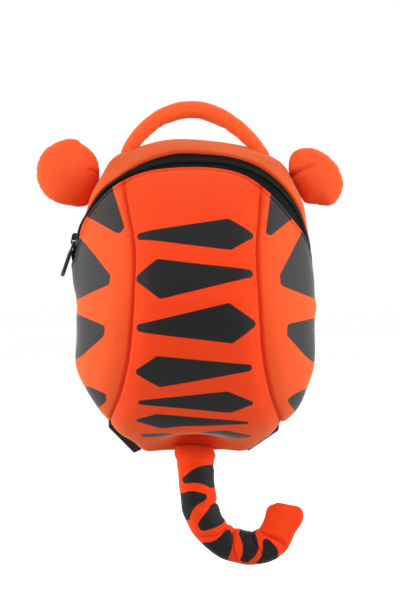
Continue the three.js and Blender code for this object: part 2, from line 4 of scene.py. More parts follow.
import bmesh
import bpy
import numpy as np
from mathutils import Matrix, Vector


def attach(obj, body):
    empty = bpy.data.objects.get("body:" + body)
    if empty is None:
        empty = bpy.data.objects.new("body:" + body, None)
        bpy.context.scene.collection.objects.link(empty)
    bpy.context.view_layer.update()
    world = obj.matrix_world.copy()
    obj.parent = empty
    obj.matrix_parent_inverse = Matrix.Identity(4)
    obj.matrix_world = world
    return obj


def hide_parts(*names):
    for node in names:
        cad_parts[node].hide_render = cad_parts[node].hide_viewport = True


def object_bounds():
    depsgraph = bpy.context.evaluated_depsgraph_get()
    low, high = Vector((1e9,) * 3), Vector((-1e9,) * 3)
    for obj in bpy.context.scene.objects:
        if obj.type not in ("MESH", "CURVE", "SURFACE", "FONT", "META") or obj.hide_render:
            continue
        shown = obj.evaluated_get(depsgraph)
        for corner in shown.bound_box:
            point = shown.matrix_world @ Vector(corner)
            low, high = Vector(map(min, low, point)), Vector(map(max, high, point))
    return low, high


# A plush tiger backpack in its finished looks: padded striped cloth, zip, stuffed ears and tail.
# Millimetres until a mesh is made, +Z up, the front of the bag towards -Y. A depth is measured forward
# from the back panel's outer face, and an angle in degrees round the bag from its top, towards +X.

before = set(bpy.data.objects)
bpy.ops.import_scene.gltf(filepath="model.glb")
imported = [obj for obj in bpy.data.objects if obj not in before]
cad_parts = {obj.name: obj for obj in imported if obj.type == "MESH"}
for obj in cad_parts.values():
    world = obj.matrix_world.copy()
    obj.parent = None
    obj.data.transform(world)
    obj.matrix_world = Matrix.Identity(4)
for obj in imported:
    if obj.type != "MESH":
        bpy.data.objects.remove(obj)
cad_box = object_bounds()
MM = 0.001
GAP = 0.4  # between neighbouring pieces
QUARTER_TURN = math.pi / 2
FULL_TURN = 2 * math.pi


def table(names, *rows):
    """Rows of values, each value under the name of its column."""
    return [Sizes(**dict(zip(names.split(), row))) for row in rows]


# Sizes of the bag

BODY = Sizes(
    half_width=96,
    depth=110,
    rise=132,
    drop=127,
    outline_top=2.6,
    outline_bottom=2.65,
    profile_top=1.45,
    profile_bottom=1.7,
    nose=0.15,
    section=2.1,
    widest=0.36,
    back_width=0.905,
    roll_depth=12,
    roll=0.05,
)
BACK_TUCK = (1 - BODY.back_width**BODY.section) ** (1 / BODY.section)
BACK_THICKNESS = 4
RIM = BACK_THICKNESS + GAP
CORE_DEPTH = 30
REACH = 260  # further than any point of the bag from its core

ZIP = Sizes(depth=39, shoulder=3.5, half=9, end=74, taper=3.4, tape_end=73.4, chain_end=67)
# The right shoulder's zip lies further forward, and its end further back.
ZIP_LEANS = table("forward angle reach", (6.4, 48, 18), (-5, 70, 10))
# Seams between the panels, on the left and on the right: the angle of the top, and places across and up.
SEAM = Sizes(
    top={-1: 31.1, 1: 30.1},
    corner=145,
    rows={
        -1: [(47.9, 40), (48.6, 0), (52.6, -45), (60.6, -77), (67.9, -93)],
        1: [(48.3, 40), (50.1, 0), (53.6, -45), (60.6, -77), (67.1, -93)],
    },
)
CENTRE_OUTLINE_END = 165
# How many degrees past the zip's end a side panel's edge stays folded, unfolds and is stitched.
ZIPPED = Sizes(past=6, fade=10, stitched=4)
GUSSET = Sizes(
    end=142,
    sweep=1.4,
    wall=2,
    roll=1.2,
    roll_reach=0.7,
    back_roll=1.8,
    back_roll_reach=2.2,
    puff=1.4,
    puff_from_back=9,
    puff_end=70,
    puff_fade=30,
)
# How far the folded cloth lies over the zip tape, by the angle: the gusset's edge and the panels'.
OVER_TAPE = [
    (-80, 0, 0),
    (-62, 4.5, 1.5),
    (-44, 7.5, 4),
    (-31, 8.6, 4.4),
    (-20, 3.4, 3.6),
    (-8, -0.4, 2),
    (6, 0, 1.6),
    (20, 1.6, 1.2),
    (38, 4.6, -1.4),
    (60, 3.2, -2.4),
    (80, 0, 0),
]
GUSSET_COLUMN = 1
PANEL_COLUMN = 2

CLOTH = Sizes(
    wall=2.5,
    seam_sink=2.4,
    seam_reach=9,
    groove=1.5,
    groove_reach=1.5,
    corner_reach=12,
    corner_ease=0.88,
    plain_border=0.5,
    bottom_roll=0.8,
    bottom_reach=1.6,
)
FOLDED_EDGE = Sizes(
    roll=1.2,
    roll_reach=0.6,
    stitch_at=3.2,
    sink=1.4,
    sink_reach=1.0,
    rise=0.8,
    rise_reach=4,
)
STITCH = Sizes(pitch=3.3, length=2.7, half=0.24, blunt=0.96)

# The hollow that the tail's root pulls into the bottom of the centre panel.
TAIL_HOLLOW = Sizes(depth=17, half_width=21, reach=14, facing=-91)
HIDDEN_STRIPE = Sizes(x=-6, half_width=10, reach=19, most=44)  # where its folds hide the lowest stripe
# Painted shade, a deep red, in the seams of the panels, in that hollow and in the creases of the tail.
FOLD_SHADE = Sizes(centre=0.6, centre_reach=2, hollow=0.5, side=0.85, side_reach=3.4, tail=4, tail_most=0.2)
# How full the padded pieces are.
FILL = Sizes(panel=0.6, gusset=0.5, handle=0.8, ear=0.9, tail=0.85, back=0.4, strap=0.7)
# Gentle unevenness of the padded pieces: its height, its size and its seed.
UNEVEN = Sizes(
    panel=(0.35, 45, 3),
    gusset=(0.3, 38, 8),
    handle=(0.3, 22, 21),
    ear=(0.6, 30, 5),
    tail=(0.45, 18, 11),
    strap=(0.25, 24, 31),
)
SWELL_COLUMNS = "x depth z rise reach"
# Bulges of the panels' padded corners, and below zero their soft dimples.
PANEL_SWELLS = table(
    SWELL_COLUMNS,
    (-96, 44, -4, -1.8, 7),
    (96, 44, -6, 1.3, 6),
    (-92, 44, 62, 1.8, 15),
    (-40, 9, -119, 3.4, 9),
    (40, 9, -119, 2.4, 9),
    (22, 9, -123, -0.9, 8),
    (-54, 8, -113.5, -2.4, 10),
    (56, 8, -112, -0.8, 8),
    (-67, 8, -102, 0.5, 8),
    (67, 8, -102, 0.7, 8),
)
# Where the padding swells out beside the zip's closed end and above the bottom corners, and where it sinks.
PADDING_SWELLS = table(
    SWELL_COLUMNS,
    (-93, 42, 57, 2.6, 11),
    (-97, 37, 37, 5.4, 10),
    (-97, 40, 19, 4.0, 15),
    (-92, 33, -52, 4.2, 18),
    (92, 33, -54, 3.4, 22),
    (81, 27, -85, 2.6, 16),
    (74, 18, -97, 1.6, 8),
    (-80, 25, -84, -1.3, 9),
    (91, 38, 58, -2.6, 14),
    (96, 40, 36, -1.6, 15),
)
# Where the gusset's padding stands out beside the feet of the handle, and sinks behind the zip on the left.
GUSSET_SWELLS = table(
    SWELL_COLUMNS,
    (-64, 12, 110, 3.4, 13),
    (70, 12, 106, 2.6, 13),
    (-88, 27, 58, -3.6, 13),
    (-99, 29, 26, -2.6, 18),
    (-16, 16, 128, 1.6, 20),
    (34, 16, 124, -1.5, 21),
)

# The photograph's eye, and the plane across which its frame measures true.
EYE = Sizes(x=3.6, z=-0.8, depth=1500)
TRUE_DEPTH = 45
FRAME_HEIGHT = 480
SENSOR = 36

# Stripes

# Stripes of the centre panel as they are seen from the front: two tips and the two corners of the thick end.
CENTRE_STRIPES = table(
    "left right upper lower round",
    ((-44.2, 50.8), (43.8, 51.4), (25.6, 61.6), (28, 42.4), 3.2),
    ((-45.4, 16.8), (43.4, 20.6), (-29.6, 28.8), (-27.6, 3.6), 3.3),
    ((-44.8, -23.4), (45.7, -20.2), (26.4, -6.6), (28.8, -32.4), 3.2),
    ((-45.2, -58.6), (42.5, -55.3), (-30, -48.5), (-28, -68), 3),
    ((-43.6, -82.8), (44, -83.4), (25.6, -75.8), (27.6, -89.6), 2.3),
    ((-46, -97), (40.9, -99.1), (-30.8, -93.1), (-27.6, -102.4), 1.6),
    ((-41.6, -109.4), (41.8, -109.8), (25.5, -106.8), (25.5, -112), 2.3),
)
# Stripes of the side panels: how far out and how high each corner is seen, past the outline on to the back,
# and how round the corners are.
LEFT_STRIPES = [
    ([(71.4, 94), (60.9, 58.6), (62.6, 56.2), (89.2, 71)], 3.2),
    ([(140, 62), (99.6, 54.4), (71.4, 18), (72.2, 13.6), (81, 9.8), (98, 1.4), (140, 2)], 3.2),
    ([(140, -14), (98, -14), (75.8, -23.5), (76.4, -28.2), (98, -48), (140, -52)], 3.2),
    ([(140, -66), (85.4, -72), (74.6, -77.6), (74.4, -81.4), (78, -84.5), (140, -92)], 2.4),
]
RIGHT_STRIPES = [
    ([(64, 90), (60.1, 54.6), (81.2, 71.4)], 3.2),
    ([(140, 62), (89.2, 54.7), (70.5, 18.4), (71.1, 13.1), (98, 2.4), (140, 3)], 3.2),
    ([(140, -16), (96.6, -18.2), (76.6, -22.7), (76.6, -28.2), (93, -46.6), (140, -54)], 3.2),
    ([(140, -64), (92.8, -69.6), (79.3, -78.2), (76.3, -81.2), (80, -87.2), (140, -98)], 2.4),
]
# Stripes of the tail, each from one side of it: where its foot starts and ends along the tail, and its tip.
TAIL_STRIPES = table(
    "side start end tip blunt reach bend",
    ("inner", 27.1, 46.5, 38, 0.3, 139, -2.7),
    ("outer", 48.2, 67.5, 52.6, 0.4, 118, -2),
    ("inner", 61, 84.8, 75, 1, 117, 0),
    ("outer", 85, 104, 96, 2, 137, 1.5),
    ("inner", 105.2, 126, 115, 0.4, 138, 3.5),
    ("outer", 121.8, 134.8, 134.2, 1.2, 112, 1),
)
TAIL_STRIPE = Sizes(round=2.6, foot=40, girth=13.4)
PLAIN = 50  # distance from a stripe on plain cloth

# Small helpers


def lerp(start, end, share):
    return start + (end - start) * share


def bell(distance, reach):
    return np.exp(-((distance / reach) ** 2))


def unit(vectors):
    return vectors / np.linalg.norm(vectors, axis=-1, keepdims=True)


def vectors(x, y, z):
    return np.stack(np.broadcast_arrays(np.asarray(x, float), y, z), axis=-1)


def shares(count, ease=0.0):
    """Shares from 0 to 1, drawn together at both ends by the ease."""
    even = np.linspace(0, 1, count + 1)
    return lerp(even, (1 - np.cos(math.pi * even)) / 2, ease)


def full_turn(count, start=0.0):
    return np.linspace(start, start + FULL_TURN, count, endpoint=False)


def lengths_along(line):
    steps = np.linalg.norm(np.diff(line, axis=0), axis=1)
    return np.concatenate([[0], np.cumsum(steps)])


def placed(line, share, placing=3):
    """Points of a line at shares of its length, which its first columns measure."""
    length = lengths_along(line[:, :placing])
    at = np.asarray(share) * length[-1]
    return np.stack([np.interp(at, length, column) for column in line.T], axis=-1)


def smooth_line(knots, count, placing=3):
    """Evenly spaced points of a smooth line through the knots."""
    knots = np.asarray(knots, float)
    first = 2 * knots[0] - knots[1]
    last = 2 * knots[-1] - knots[-2]
    run = np.concatenate([[first], knots, [last]])
    gaps = np.sqrt(np.linalg.norm(np.diff(run[:, :placing], axis=0), axis=1))
    t = np.linspace(0, 1, 32, endpoint=False)[:, None]
    stretches = []
    for place in range(len(knots) - 1):
        before, start, end, after = run[place : place + 4]
        a, b, c = gaps[place : place + 3]
        leave = ((start - before) / a - (end - before) / (a + b) + (end - start) / b) * b
        arrive = ((end - start) / b - (after - start) / (b + c) + (after - end) / c) * b
        blend = 3 * t**2 - 2 * t**3
        bend = (t**3 - 2 * t**2 + t) * leave + (t**3 - t**2) * arrive
        stretches.append((1 - blend) * start + blend * end + bend)
    return placed(np.concatenate([*stretches, knots[-1:]]), shares(count), placing)


def to_stretch(points, start, end):
    """How far each point is from a straight stretch, and its share along the stretch."""
    stretch = end - start
    offset = points - start
    along = np.clip(offset @ stretch / (stretch @ stretch), 0, 1)
    return np.linalg.norm(offset - along[..., None] * stretch, axis=-1), along


def distance_to(points, line):
    """How far each point is from a line of straight stretches."""
    nearest = np.full(points.shape[:-1], np.inf)
    for start, end in zip(line[:-1], line[1:]):
        nearest = np.minimum(nearest, to_stretch(points, start, end)[0])
    return nearest


def polygon_distance(points, corners):
    """How far each point of a plane is outside a polygon, below zero inside it."""
    corners = np.asarray(corners, float)
    nearest = np.full(points.shape[:-1], np.inf)
    inside = np.zeros(points.shape[:-1], bool)
    for start, end in zip(corners, np.roll(corners, -1, axis=0)):
        nearest = np.minimum(nearest, to_stretch(points, start, end)[0])
        edge = end - start
        offset = points - start
        if edge[1]:
            passes = (offset[..., 1] < 0) != (points[..., 1] - end[1] < 0)
            inside ^= passes & (offset[..., 0] < offset[..., 1] * edge[0] / edge[1])
    return np.where(inside, -nearest, nearest)


def ripple(points, uneven):
    """Gentle unevenness of stuffed cloth, as high above zero as below it."""
    height, size, seed = uneven
    draw = np.random.default_rng(seed)
    total = np.zeros(points.shape[:-1])
    waves = 9
    for _ in range(waves):
        heading = unit(draw.normal(size=3)) * FULL_TURN / (size * draw.uniform(0.7, 1.5))
        total += np.sin(points @ heading + draw.uniform(0, FULL_TURN))
    return height * (total / waves**0.5 / 2)


# The bag's outer form


def softened(share, power):
    start = BODY.nose**power
    end = (1 + BODY.nose**2) ** (power / 2)
    return ((share**2 + BODY.nose**2) ** (power / 2) - start) / (end - start)


def section_at(z):
    above = z > 0
    share = np.abs(z) / np.where(above, BODY.rise, BODY.drop)
    within = np.minimum(share, 1)
    outline = np.where(above, BODY.outline_top, BODY.outline_bottom)
    profile = np.where(above, BODY.profile_top, BODY.profile_bottom)
    least = 1e-3
    depth = BODY.depth * np.maximum(1 - softened(within, profile), 0) ** (1 / profile)
    half_width = BODY.half_width * (1 - within**outline) ** (1 / outline)
    return share, np.maximum(half_width, least), np.maximum(depth, least)


def body_level(points):
    """Below zero inside the bag, above zero outside it."""
    depth = -points[..., 1]
    size = 1 - BODY.roll * np.maximum(0, 1 - depth / BODY.roll_depth) ** 2
    share, half_width, full_depth = section_at(points[..., 2] / size)
    widest = BODY.widest * full_depth
    ahead = (depth - widest) / (full_depth - widest)
    behind = BACK_TUCK * (1 - depth / widest)
    across = np.abs(points[..., 0]) / (size * half_width)
    swell = np.maximum(np.maximum(ahead, behind), 0)
    return np.where(share >= 1, share, across**BODY.section + swell**BODY.section - 1)


def body_normal(points):
    step = 0.05
    slopes = [body_level(points + shift) - body_level(points - shift) for shift in np.eye(3) * step]
    return unit(np.stack(slopes, axis=-1))


def cast(start, heading):
    """Where rays from inside the bag meet its surface."""
    start, heading = np.broadcast_arrays(start, heading)
    low = np.zeros(start.shape[:-1])
    high = np.full(start.shape[:-1], float(REACH))
    halvings = 36
    for _ in range(halvings):
        middle = (low + high) / 2
        outside = body_level(start + heading * middle[..., None]) > 0
        high = np.where(outside, middle, high)
        low = np.where(outside, low, middle)
    return start + heading * low[..., None]


CORE = np.array([0.0, -CORE_DEPTH, 0.0])


def from_core(points):
    return cast(CORE, unit(points - CORE))


def on_front(x, z):
    return cast(vectors(x, -CORE_DEPTH, z), np.array([0.0, -1.0, 0.0]))


def facing_point(x, facing):
    """The point of the bag beside a place x, facing forward at 0 and up at a quarter turn."""
    return cast(vectors(x, -CORE_DEPTH, 0), vectors(0, -np.cos(facing), np.sin(facing)))


def facing_of(points):
    return np.arctan2(points[..., 2], -points[..., 1] - CORE_DEPTH)


def contour(angle, depth):
    turn = np.radians(angle)
    return cast(vectors(0, -np.asarray(depth), 0), vectors(np.sin(turn), 0, np.cos(turn)))


# Lines on the bag that its walls share


def zip_depth(angle):
    turn = np.abs(angle)
    arch = ZIP.depth + ZIP.shoulder * np.sin(2 * np.radians(np.minimum(turn, ZIP.end))) ** 2
    for lean in ZIP_LEANS:
        arch = arch + lean.forward * bell(angle - lean.angle, lean.reach)
    below = np.clip((turn - ZIP.end) / (SEAM.corner - ZIP.end), 0, 1)
    return lerp(arch, RIM, below**GUSSET.sweep)


def zip_half(angle):
    return ZIP.half * np.clip((ZIP.end - np.abs(angle)) / ZIP.taper, 0, 1)


OVER_TAPE_LINE = smooth_line(OVER_TAPE, 200, placing=1)


def over_tape(angle, column):
    return np.interp(angle, OVER_TAPE_LINE[:, 0], OVER_TAPE_LINE[:, column])


def gusset_front(angle):
    return zip_depth(angle) - zip_half(angle) - GAP / 2 + over_tape(angle, GUSSET_COLUMN)


def panel_edge(angle):
    depth = zip_depth(angle) + zip_half(angle) + GAP / 2 - over_tape(angle, PANEL_COLUMN)
    return contour(angle, depth)


def seam_points(side, share, shift):
    rows = [on_front(side * x, z) for x, z in SEAM.rows[side]]
    line = smooth_line([panel_edge(side * SEAM.top[side]), *rows, contour(side * SEAM.corner, RIM)], 400)
    return from_core(placed(line, share) + np.array([side * shift, 0, 0]))


def as_seen(points):
    """Across and up in the photograph's frame, in millimetres at its true depth."""
    scale = (EYE.depth - TRUE_DEPTH) / (EYE.depth + points[..., 1])
    across = EYE.x + (points[..., 0] - EYE.x) * scale
    up = EYE.z + (points[..., 2] - EYE.z) * scale
    return across, up


# Meshes


def quads(index):
    corners = [index[:-1, :-1], index[:-1, 1:], index[1:, 1:], index[1:, :-1]]
    return np.stack(corners, axis=-1).reshape(-1, 4)


def shell(outer, inner):
    """A closed wall between two grids of points."""
    rows, columns = outer.shape[:2]
    count = rows * columns
    index = np.arange(count).reshape(rows, columns)
    rim = np.concatenate([index[0], index[1:, -1], index[-1, -2::-1], index[-2:0:-1, 0]])
    after = np.roll(rim, -1)
    edge = np.stack([after, rim, rim + count, after + count], axis=-1)
    faces = np.concatenate([quads(index), quads(index + count)[:, ::-1], edge])
    return np.concatenate([outer.reshape(-1, 3), inner.reshape(-1, 3)]), faces.tolist()


def tube(rings):
    """A closed skin round rings of points, with a flat face over each end."""
    count, sides = rings.shape[:2]
    index = np.arange(count * sides).reshape(count, sides)
    around = np.concatenate([index, index[:, :1]], axis=1)
    faces = quads(around).tolist()
    faces.append(index[0, ::-1].tolist())
    faces.append(index[-1].tolist())
    return rings.reshape(-1, 3), faces


def joined(forms):
    """Several forms as one."""
    points = []
    faces = []
    start = 0
    for places, corners in forms:
        points.append(places)
        faces += [[start + corner for corner in face] for face in corners]
        start += len(places)
    return np.concatenate(points), faces


def mesh_of(name, form, scale):
    """A mesh whose faces look outwards."""
    points, faces = form
    mesh = bpy.data.meshes.new(name)
    mesh.from_pydata((points * scale).tolist(), [], faces)
    work = bmesh.new()
    work.from_mesh(mesh)
    bmesh.ops.recalc_face_normals(work, faces=work.faces)
    work.to_mesh(mesh)
    work.free()
    return mesh


def linked(name, data):
    made = bpy.data.objects.new(name, data)
    bpy.context.scene.collection.objects.link(made)
    return made


def piece(name, form, finish, replaces=(), marks=None, body="bag", crease=60):
    """One piece of the object, riding on its body. Its marks are grids of values or of vectors."""
    mesh = mesh_of(name, form, MM)
    for mark, values in (marks or {}).items():
        kind, field = ("FLOAT_VECTOR", "vector") if values.ndim > 2 else ("FLOAT", "value")
        attribute = mesh.attributes.new(mark, kind, "POINT")
        attribute.data.foreach_set(field, values.astype(np.float32).ravel())
    mesh.shade_smooth()
    mesh.set_sharp_from_angle(angle=math.radians(crease))
    mesh.materials.append(finish)
    made = linked(name, mesh)
    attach(made, body)
    if replaces:
        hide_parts(*replaces)
    return made


def wall_piece(name, form, finish, node, marks):
    """A wall whose outer face is lifted off the bag's form. Gives that face and its normals."""
    points, lift, wall = form
    normals = body_normal(points)
    outer = points + normals * lift[..., None]
    both_faces = {mark: np.concatenate([values, values]) for mark, values in marks.items()}
    piece(name, shell(outer, outer - normals * wall), finish, [node], both_faces)
    return outer, normals


def lay_of(across, along):
    """Places on the cloth, which its weave follows."""
    return vectors(across, along, 0)


# Finishes


class Wire:
    """A shader node's socket that Python's operators work on, by adding Math nodes."""

    def __init__(self, tree, socket=None):
        self.tree = tree
        self.socket = socket

    def plug(self, node, sockets):
        for name, value in sockets.items():
            if isinstance(value, Wire):
                self.tree.links.new(value.socket, node.inputs[name])
            else:
                node.inputs[name].default_value = value

    def node(self, kind, settings=None, sockets=None, output=0):
        """Any node: its type, its settings, and the values or links of its sockets."""
        made = self.tree.nodes.new("ShaderNode" + kind)
        for name, setting in (settings or {}).items():
            setattr(made, name, setting)
        self.plug(made, sockets or {})
        return Wire(self.tree, made.outputs[output])

    def math(self, operation, *values):
        return self.node("Math", {"operation": operation}, dict(enumerate(values)))

    def __add__(self, other):
        return self.math("ADD", self, other)

    def __radd__(self, other):
        return self.math("ADD", other, self)

    def __sub__(self, other):
        return self.math("SUBTRACT", self, other)

    def __rsub__(self, other):
        return self.math("SUBTRACT", other, self)

    def __mul__(self, other):
        return self.math("MULTIPLY", self, other)

    def __rmul__(self, other):
        return self.math("MULTIPLY", other, self)

    def __truediv__(self, other):
        return self.math("DIVIDE", self, other)

    def wave(self, pitch):
        return self.math("SINE", self * (FULL_TURN / pitch))

    def clamped(self):
        return self.node("Clamp", {}, {"Value": self})

    def across_and_along(self):
        return [self.node("SeparateXYZ", {}, {0: self}, output=axis) for axis in range(2)]

    def attribute(self, name, output):
        return self.node("Attribute", {"attribute_name": name}, output=output)

    def place(self):
        return self.node("TexCoord", {}, output="Object")

    def placed_in_millimetres(self):
        turned = self.node("Mapping", {}, {"Vector": self.place(), "Rotation": (QUARTER_TURN, 0, 0)})
        return self.node("VectorMath", {"operation": "SCALE"}, {0: turned, "Scale": 1 / MM})

    def mix(self, share, first, second):
        """One colour into another by a share."""
        return self.node("Mix", {"data_type": "RGBA"}, {0: share, 6: first, 7: second}, output=2)

    def noise(self, place, scale, detail=2.0):
        return self.node("TexNoise", {}, {"Vector": place, "Scale": scale, "Detail": detail})

    def relief(self, height, depth, strength=1.0):
        """The bump of a height from 0 to 1 that stands a depth in metres high."""
        return self.node("Bump", {}, {"Height": height, "Distance": depth, "Strength": strength})


def new_finish(name):
    material = bpy.data.materials.new(name)
    material.use_nodes = True
    return material, Wire(material.node_tree), material.node_tree.nodes["Principled BSDF"]


def colour(red, green, blue):
    return (red, green, blue, 1.0)


def toned(tone, *parts):
    return colour(*(tone * part for part in parts))


# Each cloth's tone where its pile is full and where it is thin.
ORANGE = colour(0.86, 0.053, 0.007), colour(0.78, 0.039, 0.005)
# The side panels' cloth is painted paler: painted light from the sides, and painted sheen.
SIDE_LIT_ORANGE = colour(0.868, 0.097, 0.022), colour(0.818, 0.078, 0.0172)
TAIL_ORANGE = colour(0.8, 0.05, 0.006), colour(0.7, 0.036, 0.004)
EAR_ORANGE = colour(0.88, 0.098, 0.024), colour(0.82, 0.078, 0.018)
HANDLE_ORANGE = colour(0.94, 0.115, 0.028), colour(0.89, 0.092, 0.021)
GUSSET_ORANGE = colour(0.715, 0.084, 0.0187), colour(0.63, 0.063, 0.0122)
PRINT = colour(0.007, 0.006, 0.0065), colour(0.013, 0.012, 0.012)
# The side panels' print is painted paler too: a painted sheen of the light from the sides.
SIDE_LIT_PRINT = colour(0.027, 0.0245, 0.025), colour(0.048, 0.044, 0.0445)
FOLD_SHADE_RED = colour(0.8, 0.02, 0.003)  # painted shade: the deep red light that folds pass on between them
SHEEN_GOLD = colour(1.0, 0.84, 0.4)
# Loops of the knitted cloth, and how much of its shade comes from clouds, loops and fuzz.
KNIT = Sizes(
    pitch=0.72,
    course_pitch=0.9,
    sway=0.12,
    cloud_scale=0.055,
    fuzz_scale=2.6,
    cloud=0.8,
    loops=0.35,
    fuzz=0.45,
    thin=0.3,
    height=0.00012,
    print_height=0.0001,
    print_edge=0.5,
    print_sheen=1.5,
)
# Threads of the black weaves: the picks' pitch and sway for each rib, and the heights of both.
WEAVE = Sizes(sway=0.3, pick_pitch=1.4, rib=0.3, pick=0.2, fuzz_scale=1.7, height=0.00025)
# Grain and wear of hard black pieces, in repeats a metre, and where an edge counts as worn.
MOULDED = Sizes(speck_scale=1900, smear_scale=160, worn_from=0.52, worn_gain=9)
MESH = Sizes(pitch=2.6, hole_gain=1.8, hole_from=0.5, fuzz_scale=2.2, height=0.0005)
THREAD = Sizes(tint=(0.5, 0.022, 0.006), twist_scale=2600, dark=0.55, height=0.0001)


def tiger_cloth(name, striped, tones=ORANGE, print_tones=PRINT, sheen=0.4):
    """Brushed knitted cloth, with the stripes printed where the cloth is marked."""
    material, start, shader = new_finish(name)
    full, thin = tones
    lay = start.attribute("lay", "Vector")
    across, along = lay.across_and_along()
    rib = across.wave(KNIT.pitch)
    course = (along + rib * KNIT.sway).wave(KNIT.course_pitch)
    knit = rib * course * 0.5 + 0.5
    cloud = start.noise(lay, KNIT.cloud_scale, 3.0)
    fuzz = start.noise(lay, KNIT.fuzz_scale, 3.0)
    shade = (cloud * KNIT.cloud + knit * KNIT.loops + fuzz * KNIT.fuzz - KNIT.thin).clamped()
    # The fold mark paints shade into the cloth's colour: seams, hollows and creases turn deep red.
    fold = start.attribute("fold", "Fac").clamped()
    start.plug(
        shader,
        {
            "Base Color": start.mix(fold, start.mix(shade, thin, full), FOLD_SHADE_RED),
            "Roughness": 0.82 + fuzz * 0.1,
            "Normal": start.relief(knit * 0.6 + fuzz * 0.5, KNIT.height, 0.7),
            "Specular IOR Level": 0.1,
            "Sheen Weight": sheen,
            "Sheen Roughness": 0.44,
            "Sheen Tint": SHEEN_GOLD,
        },
    )
    if striped:
        ink = (0.5 - start.attribute("stripe", "Fac") / KNIT.print_edge).clamped()
        printed = start.node(
            "BsdfPrincipled",
            {},
            {
                "Base Color": start.mix(fuzz, *print_tones),
                "Roughness": 0.58 + fuzz * 0.14,
                "Normal": start.relief(knit * 0.7 + fuzz * 0.3, KNIT.print_height, 0.6),
                "Specular IOR Level": 0.16,
                "Sheen Weight": KNIT.print_sheen * sheen,
                "Sheen Roughness": 0.36,
            },
        )
        dyed = Wire(start.tree, shader.outputs[0])
        both = start.node("MixShader", {}, {0: ink, 1: dyed, 2: printed})
        start.plug(start.tree.nodes["Material Output"], {"Surface": both})
    return material


def woven_black(name, tone, rib_pitch, rough, sheen, shine=0.3, laid=True):
    """Black tape or webbing, ribbed along its length."""
    material, start, shader = new_finish(name)
    lay = start.attribute("lay", "Vector") if laid else start.placed_in_millimetres()
    across, along = lay.across_and_along()
    rib = across.wave(rib_pitch)
    pick = (along + rib * WEAVE.sway).wave(rib_pitch * WEAVE.pick_pitch)
    thread = rib * WEAVE.rib + pick * WEAVE.pick + 0.5
    fuzz = start.noise(lay, WEAVE.fuzz_scale)
    dark = toned(tone, 0.6, 0.58, 0.6)
    light = toned(tone, 1.7, 1.65, 1.7)
    start.plug(
        shader,
        {
            "Base Color": start.mix((thread * 0.6 + fuzz * 0.4).clamped(), dark, light),
            "Roughness": rough + fuzz * 0.12,
            "Normal": start.relief(thread, WEAVE.height, 0.8),
            "Specular IOR Level": shine,
            "Sheen Weight": sheen,
            "Sheen Roughness": 0.4,
        },
    )
    return material


def moulded_black(name, tone, rough, grain, metallic=0.0, coat=0.0, shine=0.5):
    """Hard black plastic or enamel with a fine grain and paler, worn high spots."""
    material, start, shader = new_finish(name)
    place = start.place()
    speck = start.noise(place, MOULDED.speck_scale, 3.0)
    smear = start.noise(place, MOULDED.smear_scale)
    worn = start.node("NewGeometry", {}, output="Pointiness")
    edge = ((worn - MOULDED.worn_from) * MOULDED.worn_gain).clamped()
    dark = toned(tone, 1, 1, 1.05)
    light = toned(tone, 3.2, 3.1, 3.2)
    start.plug(
        shader,
        {
            "Base Color": start.mix((edge * 0.6 + smear * 0.25).clamped(), dark, light),
            "Roughness": rough + (smear - 0.5) * 0.25,
            "Normal": start.relief(speck, grain, 0.5),
            "Metallic": metallic,
            "Coat Weight": coat,
            "Specular IOR Level": shine,
        },
    )
    return material


def back_mesh():
    """Plain black spacer mesh with small round holes."""
    material, start, shader = new_finish("back_mesh")
    lay = start.attribute("lay", "Vector")
    across, along = lay.across_and_along()
    cells = across.wave(MESH.pitch) * along.wave(MESH.pitch)
    hole = (cells * MESH.hole_gain - MESH.hole_from).clamped()
    fuzz = start.noise(lay, MESH.fuzz_scale)
    dark = colour(0.006, 0.006, 0.006)
    light = colour(0.05, 0.05, 0.052)
    start.plug(
        shader,
        {
            "Base Color": start.mix((fuzz - hole * 0.8).clamped(), dark, light),
            "Roughness": 0.78 + fuzz * 0.15,
            "Normal": start.relief(1 - hole, MESH.height, 0.9),
            "Sheen Weight": 0.15,
            "Sheen Roughness": 0.5,
        },
    )
    return material


def sewing_thread():
    material, start, shader = new_finish("orange_thread")
    twist = start.noise(start.place(), THREAD.twist_scale)
    start.plug(
        shader,
        {
            "Base Color": start.mix(twist, toned(THREAD.dark, *THREAD.tint), colour(*THREAD.tint)),
            "Roughness": 0.6 + twist * 0.2,
            "Normal": start.relief(twist, THREAD.height, 0.8),
            "Specular IOR Level": 0.05,
        },
    )
    return material


FINISH = Sizes(
    striped=tiger_cloth("striped_cloth", True, sheen=0.5),
    tail=tiger_cloth("tail_cloth", True, TAIL_ORANGE, sheen=0.22),
    side_striped=tiger_cloth("side_lit_striped_cloth", True, SIDE_LIT_ORANGE, SIDE_LIT_PRINT),
    plain=tiger_cloth("plain_cloth", False),
    plush=tiger_cloth("plush_cloth", False, EAR_ORANGE),
    handle=tiger_cloth("handle_cloth", False, HANDLE_ORANGE),
    gusset=tiger_cloth("gusset_cloth", False, GUSSET_ORANGE),
    tape=woven_black("zip_tape", tone=0.0055, rib_pitch=0.9, rough=0.8, sheen=0.0, shine=0.12),
    webbing=woven_black("webbing", tone=0.017, rib_pitch=1.6, rough=0.68, sheen=0.12),
    tab=woven_black("folded_webbing", tone=0.017, rib_pitch=1.6, rough=0.68, sheen=0.12, laid=False),
    coil=moulded_black("zip_coil", tone=0.006, rough=0.55, grain=0.00003, shine=0.2),
    enamel=moulded_black("zip_metal", tone=0.012, rough=0.3, grain=0.00003, metallic=0.6, coat=0.4),
    plastic=moulded_black("black_plastic", tone=0.014, rough=0.4, grain=0.00006),
    back=back_mesh(),
    thread=sewing_thread(),
)

# Stripes on the cloth


def down_the_front():
    """How far down the middle of the front each height lies, as it is seen and along the cloth."""
    z = np.linspace(BODY.rise - 1, 1 - BODY.drop, 1200)
    line = on_front(0 * z, z)
    _, up = as_seen(line)
    return up, lengths_along(line)


SEEN_UP, DOWN_CLOTH = down_the_front()


def cloth_down(up):
    return np.interp(-up, -SEEN_UP, DOWN_CLOTH)


